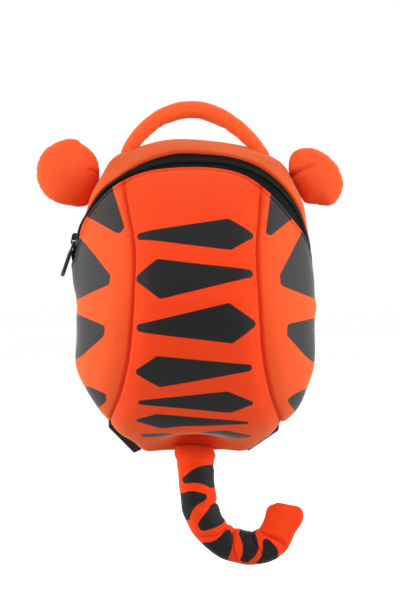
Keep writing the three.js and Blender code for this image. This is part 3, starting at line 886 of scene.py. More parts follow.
def nearest_stripe(place, outlines):
    """How far each place is from the nearest of some rounded outlines, below zero inside it."""
    nearest = np.full(place.shape[:-1], float(PLAIN))
    for corners, rounding in outlines:
        nearest = np.minimum(nearest, polygon_distance(place, corners) - rounding)
    return nearest


def centre_stripes(points):
    across, up = as_seen(points)
    outlines = []
    for stripe in CENTRE_STRIPES:
        ends = stripe.left, stripe.upper, stripe.right, stripe.lower
        outlines.append(([(x, cloth_down(z)) for x, z in ends], stripe.round))
    return nearest_stripe(np.stack([across, cloth_down(up)], axis=-1), outlines)


def side_stripes(points, stripes):
    across, up = as_seen(points)
    _, _, full_depth = section_at(points[..., 2])
    behind = np.maximum(0, BODY.widest * full_depth + points[..., 1])
    return nearest_stripe(np.stack([np.abs(across) + behind, up], axis=-1), stripes)


def tail_stripes(along, cosine, sine):
    turned = {"outer": np.arctan2(sine, cosine), "inner": np.arctan2(sine, -cosine)}
    foot = math.radians(TAIL_STRIPE.foot) * TAIL_STRIPE.girth
    nearest = np.full(along.shape, float(PLAIN))
    for stripe in TAIL_STRIPES:
        tip = math.radians(stripe.reach) * TAIL_STRIPE.girth - TAIL_STRIPE.round
        round_place = (turned[stripe.side] + 0 * along) * TAIL_STRIPE.girth
        to_tip = np.clip((np.abs(round_place) - foot) / (tip - foot), 0, 1)
        place = np.stack([along - stripe.bend * np.sin(math.pi * to_tip), round_place], axis=-1)
        start = stripe.start + TAIL_STRIPE.round
        end = stripe.end - TAIL_STRIPE.round
        before = stripe.tip - stripe.blunt
        after = stripe.tip + stripe.blunt
        corners = [(start, -foot), (start, foot), (before, tip), (after, tip)]
        corners += [(end, foot), (end, -foot), (after, -tip), (before, -tip)]
        nearest = np.minimum(nearest, nearest_stripe(place, [(corners, TAIL_STRIPE.round)]))
    return nearest


# Panels


def folded_edge(distance):
    """The lift of a panel whose edge is folded under and stitched down beside the zip."""
    rise = FOLDED_EDGE.rise * bell(distance, FOLDED_EDGE.rise_reach)
    roll = FOLDED_EDGE.roll * bell(distance, FOLDED_EDGE.roll_reach)
    sink = FOLDED_EDGE.sink * bell(distance - FOLDED_EDGE.stitch_at, FOLDED_EDGE.sink_reach)
    return rise - roll - sink


def seam_pull(distance, to_ends):
    """The lift of a padded panel beside a seam, which is less near the seam's ends."""
    pull = CLOTH.seam_sink * bell(distance, CLOTH.seam_reach)
    groove = CLOTH.groove * bell(distance, CLOTH.groove_reach)
    return -(pull + groove) * (1 - CLOTH.corner_ease * bell(to_ends, CLOTH.corner_reach))


def swells(points, places):
    lift = 0
    for place in places:
        middle = np.array([place.x, -place.depth, place.z])
        lift = lift + place.rise * bell(np.linalg.norm(points - middle, axis=-1), place.reach)
    return lift


def panel_padding(points):
    return ripple(points, UNEVEN.panel) + swells(points, PANEL_SWELLS)


def stitched_line(points, normals, distance):
    """The line on a grid at the stitches' distance from its folded edge, and the line's normals."""
    line = []
    for row, far in zip(np.concatenate([points, normals], axis=-1), distance):
        order = np.argsort(far)
        line.append([np.interp(FOLDED_EDGE.stitch_at, far[order], part[order]) for part in row.T])
    return np.split(np.array(line), 2, axis=1)


def stitches(name, lines):
    """Short threads lying along lines, each given with its normals."""
    ends = np.linspace(-1, 1, 7)[:, None]
    turns = full_turn(6)
    swell = STITCH.half * np.sqrt(1 - (ends * STITCH.blunt) ** 2)
    local = vectors(ends * STITCH.length / 2, swell * np.cos(turns), swell * np.sin(turns))
    forms = []
    for line, normals in lines:
        length = lengths_along(line)[-1]
        count = int(length / STITCH.pitch)
        middles = (np.arange(count) + 0.5) / count
        near = 0.5 / length
        both = placed(np.concatenate([line, normals], axis=1), middles)
        ahead = placed(line, np.minimum(middles + near, 1))
        behind = placed(line, np.maximum(middles - near, 0))
        along = unit(ahead - behind)
        up = unit(both[:, 3:])
        beside = np.cross(along, up)
        for middle, *axes in zip(both[:, :3], along, beside, up):
            forms.append(tube(middle + local @ np.array(axes)))
    piece(name, joined(forms), FINISH.thread)


def patch(top, bottom, left, right, across, down):
    """A grid between four border lines that meet at their corners."""
    u = across[None, :, None]
    v = down[:, None, None]
    ends = lerp(top[None], bottom[None], v)
    sides = lerp(left[:, None], right[:, None], u)
    corners = lerp(lerp(top[0], top[-1], u), lerp(bottom[0], bottom[-1], u), v)
    return ends + sides - corners


def flat_border(line, share):
    """A border's places across the bag and their facing."""
    spread = placed(line, share)
    return np.stack([spread[:, 0], facing_of(spread)], axis=-1)


def centre_panel():
    across = shares(96, ease=0.75)
    down = shares(240, ease=0.6)
    seams = []
    sides = []
    for side in (-1, 1):
        outline = contour(side * np.linspace(SEAM.corner, CENTRE_OUTLINE_END, 30), RIM)
        seam = seam_points(side, np.linspace(0, 1, 200), -GAP / 2)
        seams.append(seam)
        sides.append(np.concatenate([seam, outline[1:]]))
    top = panel_edge(np.linspace(-SEAM.top[-1], SEAM.top[1], 120))
    bottom = contour(np.linspace(360 - CENTRE_OUTLINE_END, CENTRE_OUTLINE_END, 60), RIM)
    ends = [flat_border(line, across) for line in (top, bottom)]
    grid = patch(*ends, *[flat_border(line, down) for line in sides], across, down)
    points = facing_point(grid[..., 0], grid[..., 1])
    to_zip = distance_to(points, top)
    to_seam = np.minimum(*[distance_to(points, seam) for seam in seams])
    bottom_roll = CLOTH.bottom_roll * bell(distance_to(points, bottom), CLOTH.bottom_reach)
    corners = contour(np.array([-SEAM.corner, SEAM.corner]), RIM)
    to_corner = np.min(np.linalg.norm(points[..., None, :] - corners, axis=-1), axis=-1)
    from_hollow = (grid[..., 1] - math.radians(TAIL_HOLLOW.facing)) * BODY.drop
    hollow = bell(points[..., 0], TAIL_HOLLOW.half_width) * bell(from_hollow, TAIL_HOLLOW.reach)
    hidden_across = bell(points[..., 0] - HIDDEN_STRIPE.x, HIDDEN_STRIPE.half_width)
    hidden = HIDDEN_STRIPE.most * hidden_across * bell(from_hollow, HIDDEN_STRIPE.reach)
    pull = seam_pull(to_seam, np.minimum(to_zip, to_corner))
    lift = pull + folded_edge(to_zip) + panel_padding(points) - TAIL_HOLLOW.depth * hollow - bottom_roll
    marks = {
        "stripe": centre_stripes(points) + hidden,
        # Painted shade in the seams and in the tail's hollow.
        "fold": FOLD_SHADE.centre * bell(to_seam, FOLD_SHADE.centre_reach) + FOLD_SHADE.hollow * hollow,
        "lay": lay_of(points[..., 0], cloth_down(as_seen(points)[1])),
    }
    form = points, lift, CLOTH.wall
    outer, normals = wall_piece(
        "centre_cloth", form, FINISH.striped, "centre_panel", marks
    )
    near = slice(0, 60)
    turned = (1, 0, 2)
    return stitched_line(outer[near].transpose(turned), normals[near].transpose(turned), to_zip[near].T)


def side_panel(side, name, stripes):
    tip = 0.006
    down = lerp(tip, 1 - tip, shares(190, ease=0.35))
    across = shares(64, ease=0.8)
    angles = lerp(SEAM.top[side], SEAM.corner, down)
    start = seam_points(side, down, GAP / 2)
    end = panel_edge(side * angles)
    points = from_core(lerp(start[:, None], end[:, None], across[None, :, None]))
    points[:, -1] = end
    seam = seam_points(side, np.linspace(0, 1, 160), GAP / 2)
    edge = panel_edge(side * np.linspace(SEAM.top[side], SEAM.corner, 160))
    to_seam = distance_to(points, seam)
    to_edge = distance_to(points, edge)
    to_corner = np.linalg.norm(points - edge[-1], axis=-1)
    zipped = np.clip((ZIP.end + ZIPPED.past - angles) / ZIPPED.fade, 0, 1)[:, None]
    pull = seam_pull(to_seam, np.minimum(np.where(zipped > 0, to_edge, PLAIN), to_corner))
    plain_border = CLOTH.plain_border * seam_pull(to_edge, to_corner)
    border = lerp(plain_border, folded_edge(to_edge), zipped)
    lift = pull + border + panel_padding(points) + swells(points, PADDING_SWELLS)
    width = np.linalg.norm(end - start, axis=1)[:, None]
    marks = {
        "stripe": side_stripes(points, stripes),
        # Painted shade beside the seams.
        "fold": FOLD_SHADE.side * bell(to_seam, FOLD_SHADE.side_reach),
        "lay": lay_of(across * width, points[..., 2]),
    }
    form = points, lift, CLOTH.wall
    # The side panels' finish is the centre's cloth painted paler, for the light that falls on them from the
    # sides.
    outer, normals = wall_piece(
        name + "_cloth", form, FINISH.side_striped, name, marks
    )
    near = angles < ZIP.end + ZIPPED.stitched
    return stitched_line(outer[near], normals[near], to_edge[near])


def gusset():
    angle = lerp(-GUSSET.end, GUSSET.end, shares(300))[:, None]
    points = contour(angle, lerp(RIM, gusset_front(angle), shares(30, ease=0.7)))
    to_zip = distance_to(points, points[:, -1])
    to_back = distance_to(points, points[:, 0])
    roll = GUSSET.roll * bell(to_zip, GUSSET.roll_reach)
    roll = roll + GUSSET.back_roll * bell(to_back, GUSSET.back_roll_reach)
    puff = GUSSET.puff * np.clip(to_back / GUSSET.puff_from_back, 0, 1)
    puff = puff * np.clip((GUSSET.puff_end - np.abs(angle)) / GUSSET.puff_fade, 0, 1)
    lift = puff - roll + ripple(points, UNEVEN.gusset) + swells(points, GUSSET_SWELLS + PADDING_SWELLS)
    marks = {"lay": lay_of(-points[..., 1], lengths_along(points[:, -1])[:, None])}
    form = points, lift, GUSSET.wall
    wall_piece("gusset_cloth", form, FINISH.gusset, "gusset", marks)


# Zip

TAPE = Sizes(sink=1.4, wall=1.1, cord=0.4, cord_at=4.4, cord_reach=0.5)
COIL = Sizes(pitch=1.45, steps=12, wire=0.36, sides=7, apart=1.35, half_width=1.25, sink=0.3, half_height=0.6)
PULLER = Sizes(angle=-63, hinge_along=-2.2, hinge_height=4.4, tilt=8)
BRIDGE_WEB = Sizes(across=(-1.1, 1.1), along=(-1, 3.2), height=(2.9, 5.8))
# Loops of the puller about its hinge: half width, low end and high end of each outline and of its hole.
PULLER_EYE = Sizes(outline=(2.7, -9.5, 0.7), hole=(1.6, -6.6, -0.6), half_thick=0.7)
PULLER_GRIP = Sizes(outline=(3.3, -29.2, -6.4), hole=(1.1, -26.4, -20), half_thick=1.35)
# Section of a moulded loop: how far from its outline to its hole, and how high.
LOOP_SECTION = [(0, -0.6), (0, 0.6), (0.12, 1), (0.88, 1), (1, 0.6), (1, -0.6), (0.88, -1), (0.12, -1)]


def zip_tape():
    columns = shares(36)
    angle = lerp(-ZIP.tape_end, ZIP.tape_end, shares(320))[:, None]
    middle = zip_depth(angle)
    half = zip_half(angle) - GAP / 2
    bare = np.maximum(-over_tape(angle, PANEL_COLUMN), 0)
    depth = lerp(middle - half, middle + half + bare, columns)
    points = contour(angle, depth)
    cord = TAPE.cord * bell(np.abs(depth - middle) - TAPE.cord_at, TAPE.cord_reach)
    lift = cord - TAPE.sink + swells(points, PADDING_SWELLS)
    marks = {"lay": lay_of(-points[..., 1], lengths_along(points[:, len(columns) // 2])[:, None])}
    form = points, lift, TAPE.wall
    wall_piece("zip_tape_cloth", form, FINISH.tape, "zip_tape", marks)


def zip_coil():
    """The two interlocked nylon coils of the zip, each a fine spiral."""
    angle = np.linspace(-ZIP.chain_end, ZIP.chain_end, 400)
    line = contour(angle, zip_depth(angle))
    turns = int(lengths_along(line)[-1] / COIL.pitch)
    share = np.linspace(0, 1, turns * COIL.steps)
    middle = placed(line, share)
    up = body_normal(middle)
    along = unit(np.gradient(middle, axis=0))
    beside = np.cross(along, up)
    sides = full_turn(COIL.sides)[None, :, None]
    forms = []
    for hand in (-1, 1):
        phase = FULL_TURN * (share * turns + 0.25 * hand)
        spread = hand * (COIL.apart + COIL.half_width * np.cos(phase))
        height = COIL.half_height * np.sin(phase) - COIL.sink + swells(middle, PADDING_SWELLS)
        centre = middle + beside * spread[:, None] + up * height[:, None]
        heading = unit(np.gradient(centre, axis=0))
        first = unit(np.cross(heading, along))
        second = np.cross(heading, first)
        ring = first[:, None] * np.cos(sides) + second[:, None] * np.sin(sides)
        forms.append(tube(centre[:, None] + COIL.wire * ring))
    piece("zip_coils", joined(forms), FINISH.coil, ["zip_chain"])


def slider_frame():
    """Where the slider stands on the zip: its middle, across it, up along it and out of the bag."""
    angles = PULLER.angle + np.array([-1.0, 0.0, 1.0])
    places = contour(angles, zip_depth(angles))
    outward = body_normal(places[1])
    along = places[2] - places[0]
    up = unit(along - outward * (along @ outward))
    return places[1], np.cross(up, outward), up, outward


def zip_pull_frame():
    """Where the puller hangs on the zip: its middle, across it, up along it and out of the bag."""
    place, across, up, outward = slider_frame()
    middle = place + up * PULLER.hinge_along + outward * PULLER.hinge_height
    tilt = math.radians(PULLER.tilt)
    tilted_up = up * math.cos(tilt) - outward * math.sin(tilt)
    tilted_out = outward * math.cos(tilt) + up * math.sin(tilt)
    return middle, across, tilted_up, tilted_out


def bridge_web():
    """The closed upper end of the slider's bridge, above the bar that the puller turns on."""
    place, across, up, outward = slider_frame()
    points = [
        place + x * across + y * up + z * outward
        for x in BRIDGE_WEB.across
        for y in BRIDGE_WEB.along
        for z in BRIDGE_WEB.height
    ]
    faces = [(0, 1, 3, 2), (4, 6, 7, 5), (0, 4, 5, 1), (2, 3, 7, 6), (0, 2, 6, 4), (1, 5, 7, 3)]
    piece("slider_bridge_web", (np.array(points), faces), FINISH.enamel, crease=30)


def rounded_slot(half_width, low, high):
    """A long loop with round ends."""
    turns = full_turn(64)
    lift = np.where(np.sin(turns) > 0, high - half_width, low + half_width)
    return np.stack([half_width * np.cos(turns), lift + half_width * np.sin(turns)], axis=-1)


def puller_loop(name, loop, replaces=()):
    """A moulded loop of the puller, in the puller's own frame."""
    outline = rounded_slot(*loop.outline)
    hole = rounded_slot(*loop.hole)
    middle, across, up, out = zip_pull_frame()
    rows = []
    for inwards, level in LOOP_SECTION:
        row = lerp(outline, hole, inwards)
        rows.append(middle + row[:, :1] * across + row[:, 1:] * up + level * loop.half_thick * out)
    rings = np.stack(rows, axis=1)
    count, sides = rings.shape[:2]
    index = np.arange(count * sides).reshape(count, sides)
    closed = np.concatenate([index, index[:1]], axis=0)
    closed = np.concatenate([closed, closed[:, :1]], axis=1)
    form = rings.reshape(-1, 3), quads(closed).tolist()
    piece(name, form, FINISH.plastic, replaces, body="zip_pull", crease=40)


# Stuffed pieces

# The simulated filling: its scale, its pressure, the cloth it has to spare and the steps of its grid.
STUFFING = Sizes(
    scale=0.02,
    frames=14,
    pressure=3,
    spare=0.03,
    bending=0.2,
    quality=6,
    row_step=2,
    side_step=2,
    end_rows=7,
)


def simulated_cloth(form, held):
    """The points of a skin after a cloth simulation has filled it, held at some of them."""
    mesh = mesh_of("stuffing", form, STUFFING.scale)
    skin = linked("stuffing", mesh)
    skin.vertex_groups.new(name="held").add(held.tolist(), 1.0, "REPLACE")
    cloth = skin.modifiers.new("stuffing", "CLOTH")
    cloth.collision_settings.use_collision = False
    cloth.settings.vertex_group_mass = "held"
    cloth.settings.use_pressure = True
    cloth.settings.uniform_pressure_force = STUFFING.pressure
    cloth.settings.shrink_min = -STUFFING.spare
    cloth.settings.effector_weights.gravity = 0
    cloth.settings.bending_stiffness = STUFFING.bending
    cloth.settings.quality = STUFFING.quality
    scene = bpy.context.scene
    for step in range(1, STUFFING.frames + 1):
        scene.frame_set(step)
    filled = skin.evaluated_get(bpy.context.evaluated_depsgraph_get())
    places = np.empty(3 * len(mesh.vertices), np.float32)
    filled.data.vertices.foreach_get("co", places)
    bpy.data.objects.remove(skin)
    bpy.data.meshes.remove(mesh)
    scene.frame_set(1)
    return places.reshape(-1, 3) / STUFFING.scale


def eased(values, step, around):
    """Values between a coarse grid's rows, along its first axis and without corners."""
    count = len(values)
    run = np.concatenate([values, values[:1]]) if around else values
    fine = np.arange(count * step if around else (count - 1) * step + 1) / step
    below = np.minimum(fine.astype(int), len(run) - 2)
    share = (fine - below).reshape(-1, *[1] * (values.ndim - 1))
    return lerp(run[below], run[below + 1], share * share * (3 - 2 * share))


def stuffed(rings, held, limit):
    """The rings of a skin, creased by its filling up to a limit, with rows of it held by their seams."""
    coarse = rings[:: STUFFING.row_step, :: STUFFING.side_step]
    held_rows = np.round(np.array(held) * (len(coarse) - 1)).astype(int)
    index = np.arange(coarse[..., 0].size).reshape(coarse.shape[:2])
    moved = simulated_cloth(tube(coarse), index[held_rows].ravel()).reshape(coarse.shape) - coarse
    moved = moved - moved.mean(axis=1, keepdims=True)
    outward = unit(coarse - coarse.mean(axis=1, keepdims=True))
    growth = (moved * outward).sum(axis=-1).mean(axis=1)
    moved = moved - growth[:, None, None] * outward
    far = np.linalg.norm(moved, axis=-1, keepdims=True)
    row = np.arange(len(coarse))
    inside = np.clip(np.minimum(row, row[::-1]) / STUFFING.end_rows, 0, 1)
    moved = moved / (1 + far / limit) * inside[:, None, None]
    moved = eased(moved, STUFFING.row_step, around=False)
    moved = eased(moved.transpose(1, 0, 2), STUFFING.side_step, around=True).transpose(1, 0, 2)
    return rings + moved


def uneven_rings(middle, outward, across, through, uneven):
    """Rings round a middle line, from how far they lie outwards and to the front of it."""
    rings = middle + outward * across[..., None] - vectors(0, through, 0)
    return rings + unit(rings - middle) * ripple(rings, uneven)[..., None]


HANDLE = Sizes(
    half_span=55.8,
    shift=-0.5,
    lean=3.3,
    footing=118,
    hidden=8,
    rise=37.3,
    point=1.78,
    half_thick=6.9,
    foot_thick=4.8,
    taper=1.5,
    half_depth=9,
    depth=9.6,
    squareness=2.5,
    seam=0.12,
    seam_reach=0.012,
    outer_crease=0.45,
    crease_limit=1.0,
    girth=8,
)
# Soft creases across the handle: where along it, how they slant round it, how deep and how wide.
HANDLE_CREASES = table(
    "share slant sink reach",
    (0.05, 0.02, 0.1, 0.02),
    (0.22, 0.07, 0.07, 0.02),
    (0.3, 0.09, 0.06, 0.016),
    (0.36, 0.06, 0.06, 0.02),
    (0.6, -0.08, 0.06, 0.022),
    (0.67, -0.05, 0.06, 0.016),
    (0.78, -0.06, 0.05, 0.02),
    (0.95, -0.02, 0.1, 0.02),
)


def handle():
    share = shares(190)[:, None]
    round_turn = full_turn(52, start=-QUARTER_TURN)[None, :]
    cosine = np.cos(round_turn)
    sine = np.sin(round_turn)
    turn = np.linspace(0, math.pi, 400)
    height = np.sin(turn).clip(0)
    arch_across = HANDLE.shift - HANDLE.lean * height + HANDLE.half_span * np.cos(turn)
    arch = vectors(arch_across, -HANDLE.depth, HANDLE.footing + HANDLE.rise * height**HANDLE.point)
    hidden = np.array([0, 0, HANDLE.hidden])
    middle = placed(np.concatenate([arch[:1] - hidden, arch, arch[-1:] - hidden]), share[:, 0])[:, None]
    heading = np.gradient(middle, axis=0)
    outward = unit(vectors(heading[..., 2], 0, -heading[..., 0]))
    size = 1 - HANDLE.seam * bell(1 + cosine, HANDLE.seam_reach)
    for crease in HANDLE_CREASES:
        depth = crease.sink * lerp(1, HANDLE.outer_crease, (cosine + 1) / 2)
        size = size - depth * bell(share - crease.share - crease.slant * cosine, crease.reach)
    square = HANDLE.squareness
    rim = (np.abs(cosine) ** square + np.abs(sine) ** square) ** (-1 / square)
    fullness = np.sin(math.pi * share).clip(0) ** HANDLE.taper
    across = lerp(HANDLE.foot_thick, HANDLE.half_thick, fullness) * size * rim * cosine
    through = HANDLE.half_depth * size * rim * sine
    rings = uneven_rings(middle, outward, across, through, UNEVEN.handle)
    rings = stuffed(rings, [0, 1], HANDLE.crease_limit)
    marks = {"lay": lay_of(round_turn * HANDLE.girth, lengths_along(middle[:, 0])[:, None])}
    piece("handle_cloth", tube(rings), FINISH.handle, ["handle"], marks)


# The ears, with the outline of each: how far its edge is from its middle in directions from +X round to +Z.
EARS = table(
    "name x z half_depth outline",
    (
        "ear_left", -103.3, 104.5, 14,
        [
            (0, 24.2), (34, 24.7), (63, 24), (74, 25.9), (90, 26.2), (120, 25.6), (150, 25.8), (180, 26.1),
            (205, 26.8), (228, 27.6), (250, 27.8), (270, 28.2), (297, 31.6), (320, 30.4), (340, 26),
        ],
    ),
    (
        "ear_right", 97.5, 100.5, 13,
        [
            (8.3, 20.8), (45.9, 19.2), (78.3, 20.6), (115.7, 24.8), (130.2, 26.3), (139.5, 26.2),
            (172.2, 21.6), (200, 18.5), (230, 20), (250.5, 23.4), (270, 23), (285, 24.6), (296, 27),
            (309.2, 26.8), (326.7, 25.2), (343.4, 23.8),
        ],
    ),
)
EAR = Sizes(
    depth=14.6,
    pole=0.497,
    fullness=0.86,
    edge=0.9,
    seam=1.0,
    seam_reach=0.03,
    gather=0.06,
    gather_waves=[(31, 0), (19, 1)],
    gather_at=0.12,
    gather_reach=0.1,
    crease_front=2.5,
    crease_limit=0.5,
    smoothing=9,
)
EAR_SHADE = Sizes(most=0.8, start=4, reach=24)  # painted shade on each ear, deeper towards the bag below it
# Creases of the ears, each drawn as it is seen from its deep end to where it fades, with its depth, its
# width and how far the cloth beside it swells.
EAR_CREASES = table(
    "ear start end sink reach swell",
    ("ear_left", (-76, 101), (-88.5, 105.4), 3.6, 1.5, 0.9),
    ("ear_left", (-76, 99), (-86, 99.5), 1.8, 1.5, 0.5),
    ("ear_left", (-79, 113), (-90, 112), 1.2, 2.0, 0.3),
    ("ear_left", (-84, 88), (-96, 94), 1.0, 3.0, 0.2),
    ("ear_right", (74, 98), (98, 109.8), 4.4, 2.0, 1.8),
    ("ear_right", (78, 90), (92, 92), 0.9, 3.4, 0.2),
    ("ear_right", (82, 84), (95, 88), 0.8, 3.0, 0.2),
    ("ear_right", (88, 124), (98, 115), 1.2, 2.6, 0.2),
)
BESIDE_CREASE = Sizes(at=2.2, reach=1.3)  # where the cloth swells, in widths of the crease


def crease_lift(points, crease):
    """The lift of the cloth along a crease and beside it."""
    distance, along = to_stretch(points[..., [0, 2]], np.array(crease.start), np.array(crease.end))
    beside = bell(distance - BESIDE_CREASE.at * crease.reach, BESIDE_CREASE.reach * crease.reach)
    return np.sqrt(1 - along) * (crease.swell * beside - crease.sink * bell(distance, crease.reach))


def ear(name, x, z, half_depth, outline):
    turns = full_turn(150)
    radius = np.interp(np.degrees(turns), *np.transpose(outline), period=360)
    window = np.hanning(EAR.smoothing)
    overlap = len(window) // 2
    radius = np.concatenate([radius[-overlap:], radius, radius[:overlap]])
    radius = np.convolve(radius, window / window.sum(), "valid")
    latitude = lerp(-EAR.pole, EAR.pole, shares(90))[:, None] * math.pi
    swell = np.sign(latitude) * np.abs(np.sin(latitude)) ** EAR.fullness
    seam = EAR.seam * bell(latitude, EAR.seam_reach)
    gather = sum(EAR.gather * np.sin(turns * count + shift) for count, shift in EAR.gather_waves)
    gather = gather * bell(np.abs(latitude) - EAR.gather_at, EAR.gather_reach)
    reach = radius * np.cos(latitude) ** EAR.edge - seam + gather
    points = vectors(x + reach * np.cos(turns), -EAR.depth - half_depth * swell, z + reach * np.sin(turns))
    outward = unit(points - np.array([x, -EAR.depth, z]))
    points = points + outward * ripple(points, UNEVEN.ear)[..., None]
    front = np.clip(np.sin(latitude) * EAR.crease_front, 0, 1)
    lift = sum(crease_lift(points, crease) for crease in EAR_CREASES if crease.ear == name)
    points[..., 1] -= lift * front
    points = stuffed(points, [0, 0.5, 1], EAR.crease_limit)
    # The ears' fold mark is painted shade, deepest on the side nearest the bag.
    to_bag = (np.sign(x) * (x - points[..., 0]) + z - points[..., 2]) / math.sqrt(2)
    marks = {
        "fold": EAR_SHADE.most * np.clip((to_bag - EAR_SHADE.start) / EAR_SHADE.reach, 0, 1),
        "lay": lay_of(points[..., 0], points[..., 2]),
    }
    piece(name + "_cloth", tube(points), FINISH.plush, [name], marks)


# The tail's middle line with its half sizes across and from front to back, root to tip.
TAIL = [
    (0.6, -119.5, 12, 3),
    (0.3, -122, 16, 8),
    (-0.5, -125.5, 16.8, 12.5),
    (-0.5, -131, 15.4, 15),
    (0.3, -142, 15, 14.5),
    (1.4, -155, 15.2, 13.5),
    (4.2, -171.4, 15.2, 13),
    (13, -188.4, 13.9, 12.8),
    (28.3, -199.2, 13.8, 13),
    (45.5, -202.8, 14.2, 12.8),
    (61, -197.6, 15.4, 11.5),
    (68.6, -185, 14.8, 8.5),
    (73.1, -175, 15.6, 6),
    (74.6, -170.4, 13.4, 4),
    (75.2, -167.4, 9.4, 2),
]
TAIL_DEPTH = 18
TAIL_SKIN_STARTS = -108  # the height from which the places along the tail are measured
TAIL_CREASE = Sizes(front=1.5, limit=1.5)
# Folds across the tail: how far along it, how far they slant to its outer side, how deep, how wide,
# and how much of the fold is left at the outer side.
TAIL_FOLDS = table(
    "along slant sink reach outer",
    (14, 1, 0.05, 2.6, 0.5),
    (26, -3, 0.04, 2.4, 0.6),
    (59.3, -2, 0.09, 3.0, 0.1),
    (86.6, -4, 0.12, 3.4, 0.15),
    (104, 5, 0.12, 3.2, 0.15),
    (125, 3, 0.07, 3.4, 0.1),
)
BESIDE_FOLD = Sizes(rise=0.2, at=2.2, reach=1.4)  # the swell beside a fold, in its depths and its widths
# Fine creases over the tail's front, which fade out towards its two sides.
TAIL_CREASES = table(
    "along slant sink reach",
    (20, 4, 0.03, 1.2),
    (41, 5, 0.03, 1.4),
    (60, -4, 0.07, 1.0),
    (72, 5, 0.03, 1.4),
    (87, -7, 0.12, 1.1),
    (95, -4, 0.05, 1.2),
    (105, 8, 0.13, 1.1),
    (115, 6, 0.05, 1.4),
    (126, 5, 0.13, 1.1),
)
# The deep fold behind which the tip is tucked, bowed towards the tip in front.
TIP_FOLD = Sizes(
    along=132.8,
    slant=1.8,
    bow=7.2,
    sink=0.26,
    reach=1.7,
    behind=0.9,
    beside=0.08,
    lip=0.07,
    lip_reach=2.4,
    before=3,
)


def tail_size(along, cosine, sine):
    """How full the tail is at each place, with its folds and its creases."""
    size = np.ones(along.shape)
    for fold in TAIL_FOLDS:
        from_fold = along - fold.along - fold.slant * cosine
        depth = fold.sink * lerp(1, fold.outer, (cosine + 1) / 2)
        beside = bell(np.abs(from_fold) - BESIDE_FOLD.at * fold.reach, BESIDE_FOLD.reach * fold.reach)
        size = size - depth * bell(from_fold, fold.reach) + BESIDE_FOLD.rise * depth * beside
    front = np.abs(sine) ** TAIL_CREASE.front
    for crease in TAIL_CREASES:
        from_crease = along - crease.along - crease.slant * cosine
        size = size - crease.sink * front * bell(from_crease, crease.reach)
    from_tip = along - TIP_FOLD.along - TIP_FOLD.slant * cosine - TIP_FOLD.bow * np.maximum(sine, 0)
    lip = TIP_FOLD.lip * front * bell(from_tip + TIP_FOLD.before, TIP_FOLD.lip_reach)
    tuck = TIP_FOLD.sink * lerp(TIP_FOLD.beside, 1, front) * bell(from_tip - TIP_FOLD.behind, TIP_FOLD.reach)
    return size + lip - tuck


def tail():
    line = smooth_line(TAIL, 300, placing=2)
    round_turn = full_turn(96, start=-QUARTER_TURN)[None, :]
    cosine = np.cos(round_turn)
    sine = np.sin(round_turn)
    middle = vectors(line[:, 0], -TAIL_DEPTH, line[:, 1])
    heading = unit(np.gradient(middle, axis=0))
    outward = vectors(heading[:, 2], 0, -heading[:, 0])
    along = (lengths_along(middle) + TAIL_SKIN_STARTS - TAIL[0][1])[:, None] + 0 * round_turn
    size = tail_size(along, cosine, sine)
    across = line[:, 2:3] * size * cosine
    through = line[:, 3:4] * size * sine
    rings = uneven_rings(middle[:, None], outward[:, None], across, through, UNEVEN.tail)
    rings = stuffed(rings, [0, 1], TAIL_CREASE.limit)
    marks = {
        "stripe": tail_stripes(along, cosine, sine),
        # Painted shade in the tail's folds and creases, where it is pinched.
        "fold": FOLD_SHADE.tail * np.clip(1 - size, 0, FOLD_SHADE.tail_most),
        "lay": lay_of(round_turn * TAIL_STRIPE.girth, along),
    }
    piece("tail_cloth", tube(rings), FINISH.tail, ["tail"], marks)


# Back panel, shoulder straps and webbing

# The back panel's section, from its middle to its sewn edge and round the rim.
BACK = Sizes(
    middle=0.01,
    edge=0.985,
    curl=8,
    seam=0.9,
    seam_at=0.955,
    seam_reach=0.008,
    rim=[(0.996, 1.9), (1.0, 2.7), (0.998, 3.4)],
)
# A strap's ends across and up, and its rows: how far along it, how far out of the back and half how thick.
STRAP = Sizes(
    anchor=(30, 100),
    foot=(54, -97),
    half_width=17,
    webbing_half=10,
    rows=[
        (0, 2.2, 1.6),
        (14, 8, 3.4),
        (34, 20, 3.8),
        (66, 29.5, 3.8),
        (98, 31, 3.8),
        (128, 26.5, 3.6),
        (150, 20.2, 2.6),
    ],
)
STRAP_LENGTH = math.dist(STRAP.anchor, STRAP.foot)
STRAP_EDGE = Sizes(thin=0.32, reach=7, fullness=0.6, seam=0.22, seam_at=3, seam_reach=0.7)
WEBBING_HALF = 0.6
WEBBING_EDGE = Sizes(thin=0.5, reach=0.06)
SEWN_OUT = 3.6  # how far out of the back the webbing's sewn end lies
TONGUE = Sizes(tucked=5, outer=2, inner=0.6)  # the upper webbing's two ends inside the pad
FOLDED_END = Sizes(short=1, under=2.2)  # the lower webbing's free end, in half thicknesses under it
ADJUSTER = Sizes(along=168, out=13.4, tilt=-21, bar_at=10)
# Folded webbing behind the bottom corners: where it is sewn in, and the corners that show below the bag.
CORNER_TAB = Sizes(
    sewn=[(43, -92), (65, -92)],
    shown={
        "left": [(72, -98.2), (71.7, -106.1), (50.9, -127), (45, -124.4)],
        "right": [(69, -104), (68.1, -108.6), (43.8, -125.2), (41, -123.6)],
    },
    near=0.4,
    far=2.6,
)
# The way of a webbing loop round a bar of the adjuster, from the bar's middle.
BAR_LOOP = [(-5, 1.7), (0, 2.6), (2.8, 1.5), (3.3, 0), (2.8, -1.5), (0, -2.6), (-5, -1.7)]
BEVEL = Sizes(tab=0.7, adjuster=0.6, slider=0.35, sharp=35)


def soften_edges(made, bevel):
    edges = made.modifiers.new("edges", "BEVEL")
    edges.width = bevel * MM
    edges.segments = 2
    edges.limit_method = "ANGLE"
    edges.angle_limit = math.radians(BEVEL.sharp)
    edges.harden_normals = False


def finished_solid(node, finish, bevel):
    """A hard piece that keeps its solid, with softened edges."""
    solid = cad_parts[node]
    solid.data.materials.clear()
    solid.data.materials.append(finish)
    weld = solid.modifiers.new("weld", "WELD")
    weld.merge_threshold = 1e-5
    soften_edges(solid, bevel)


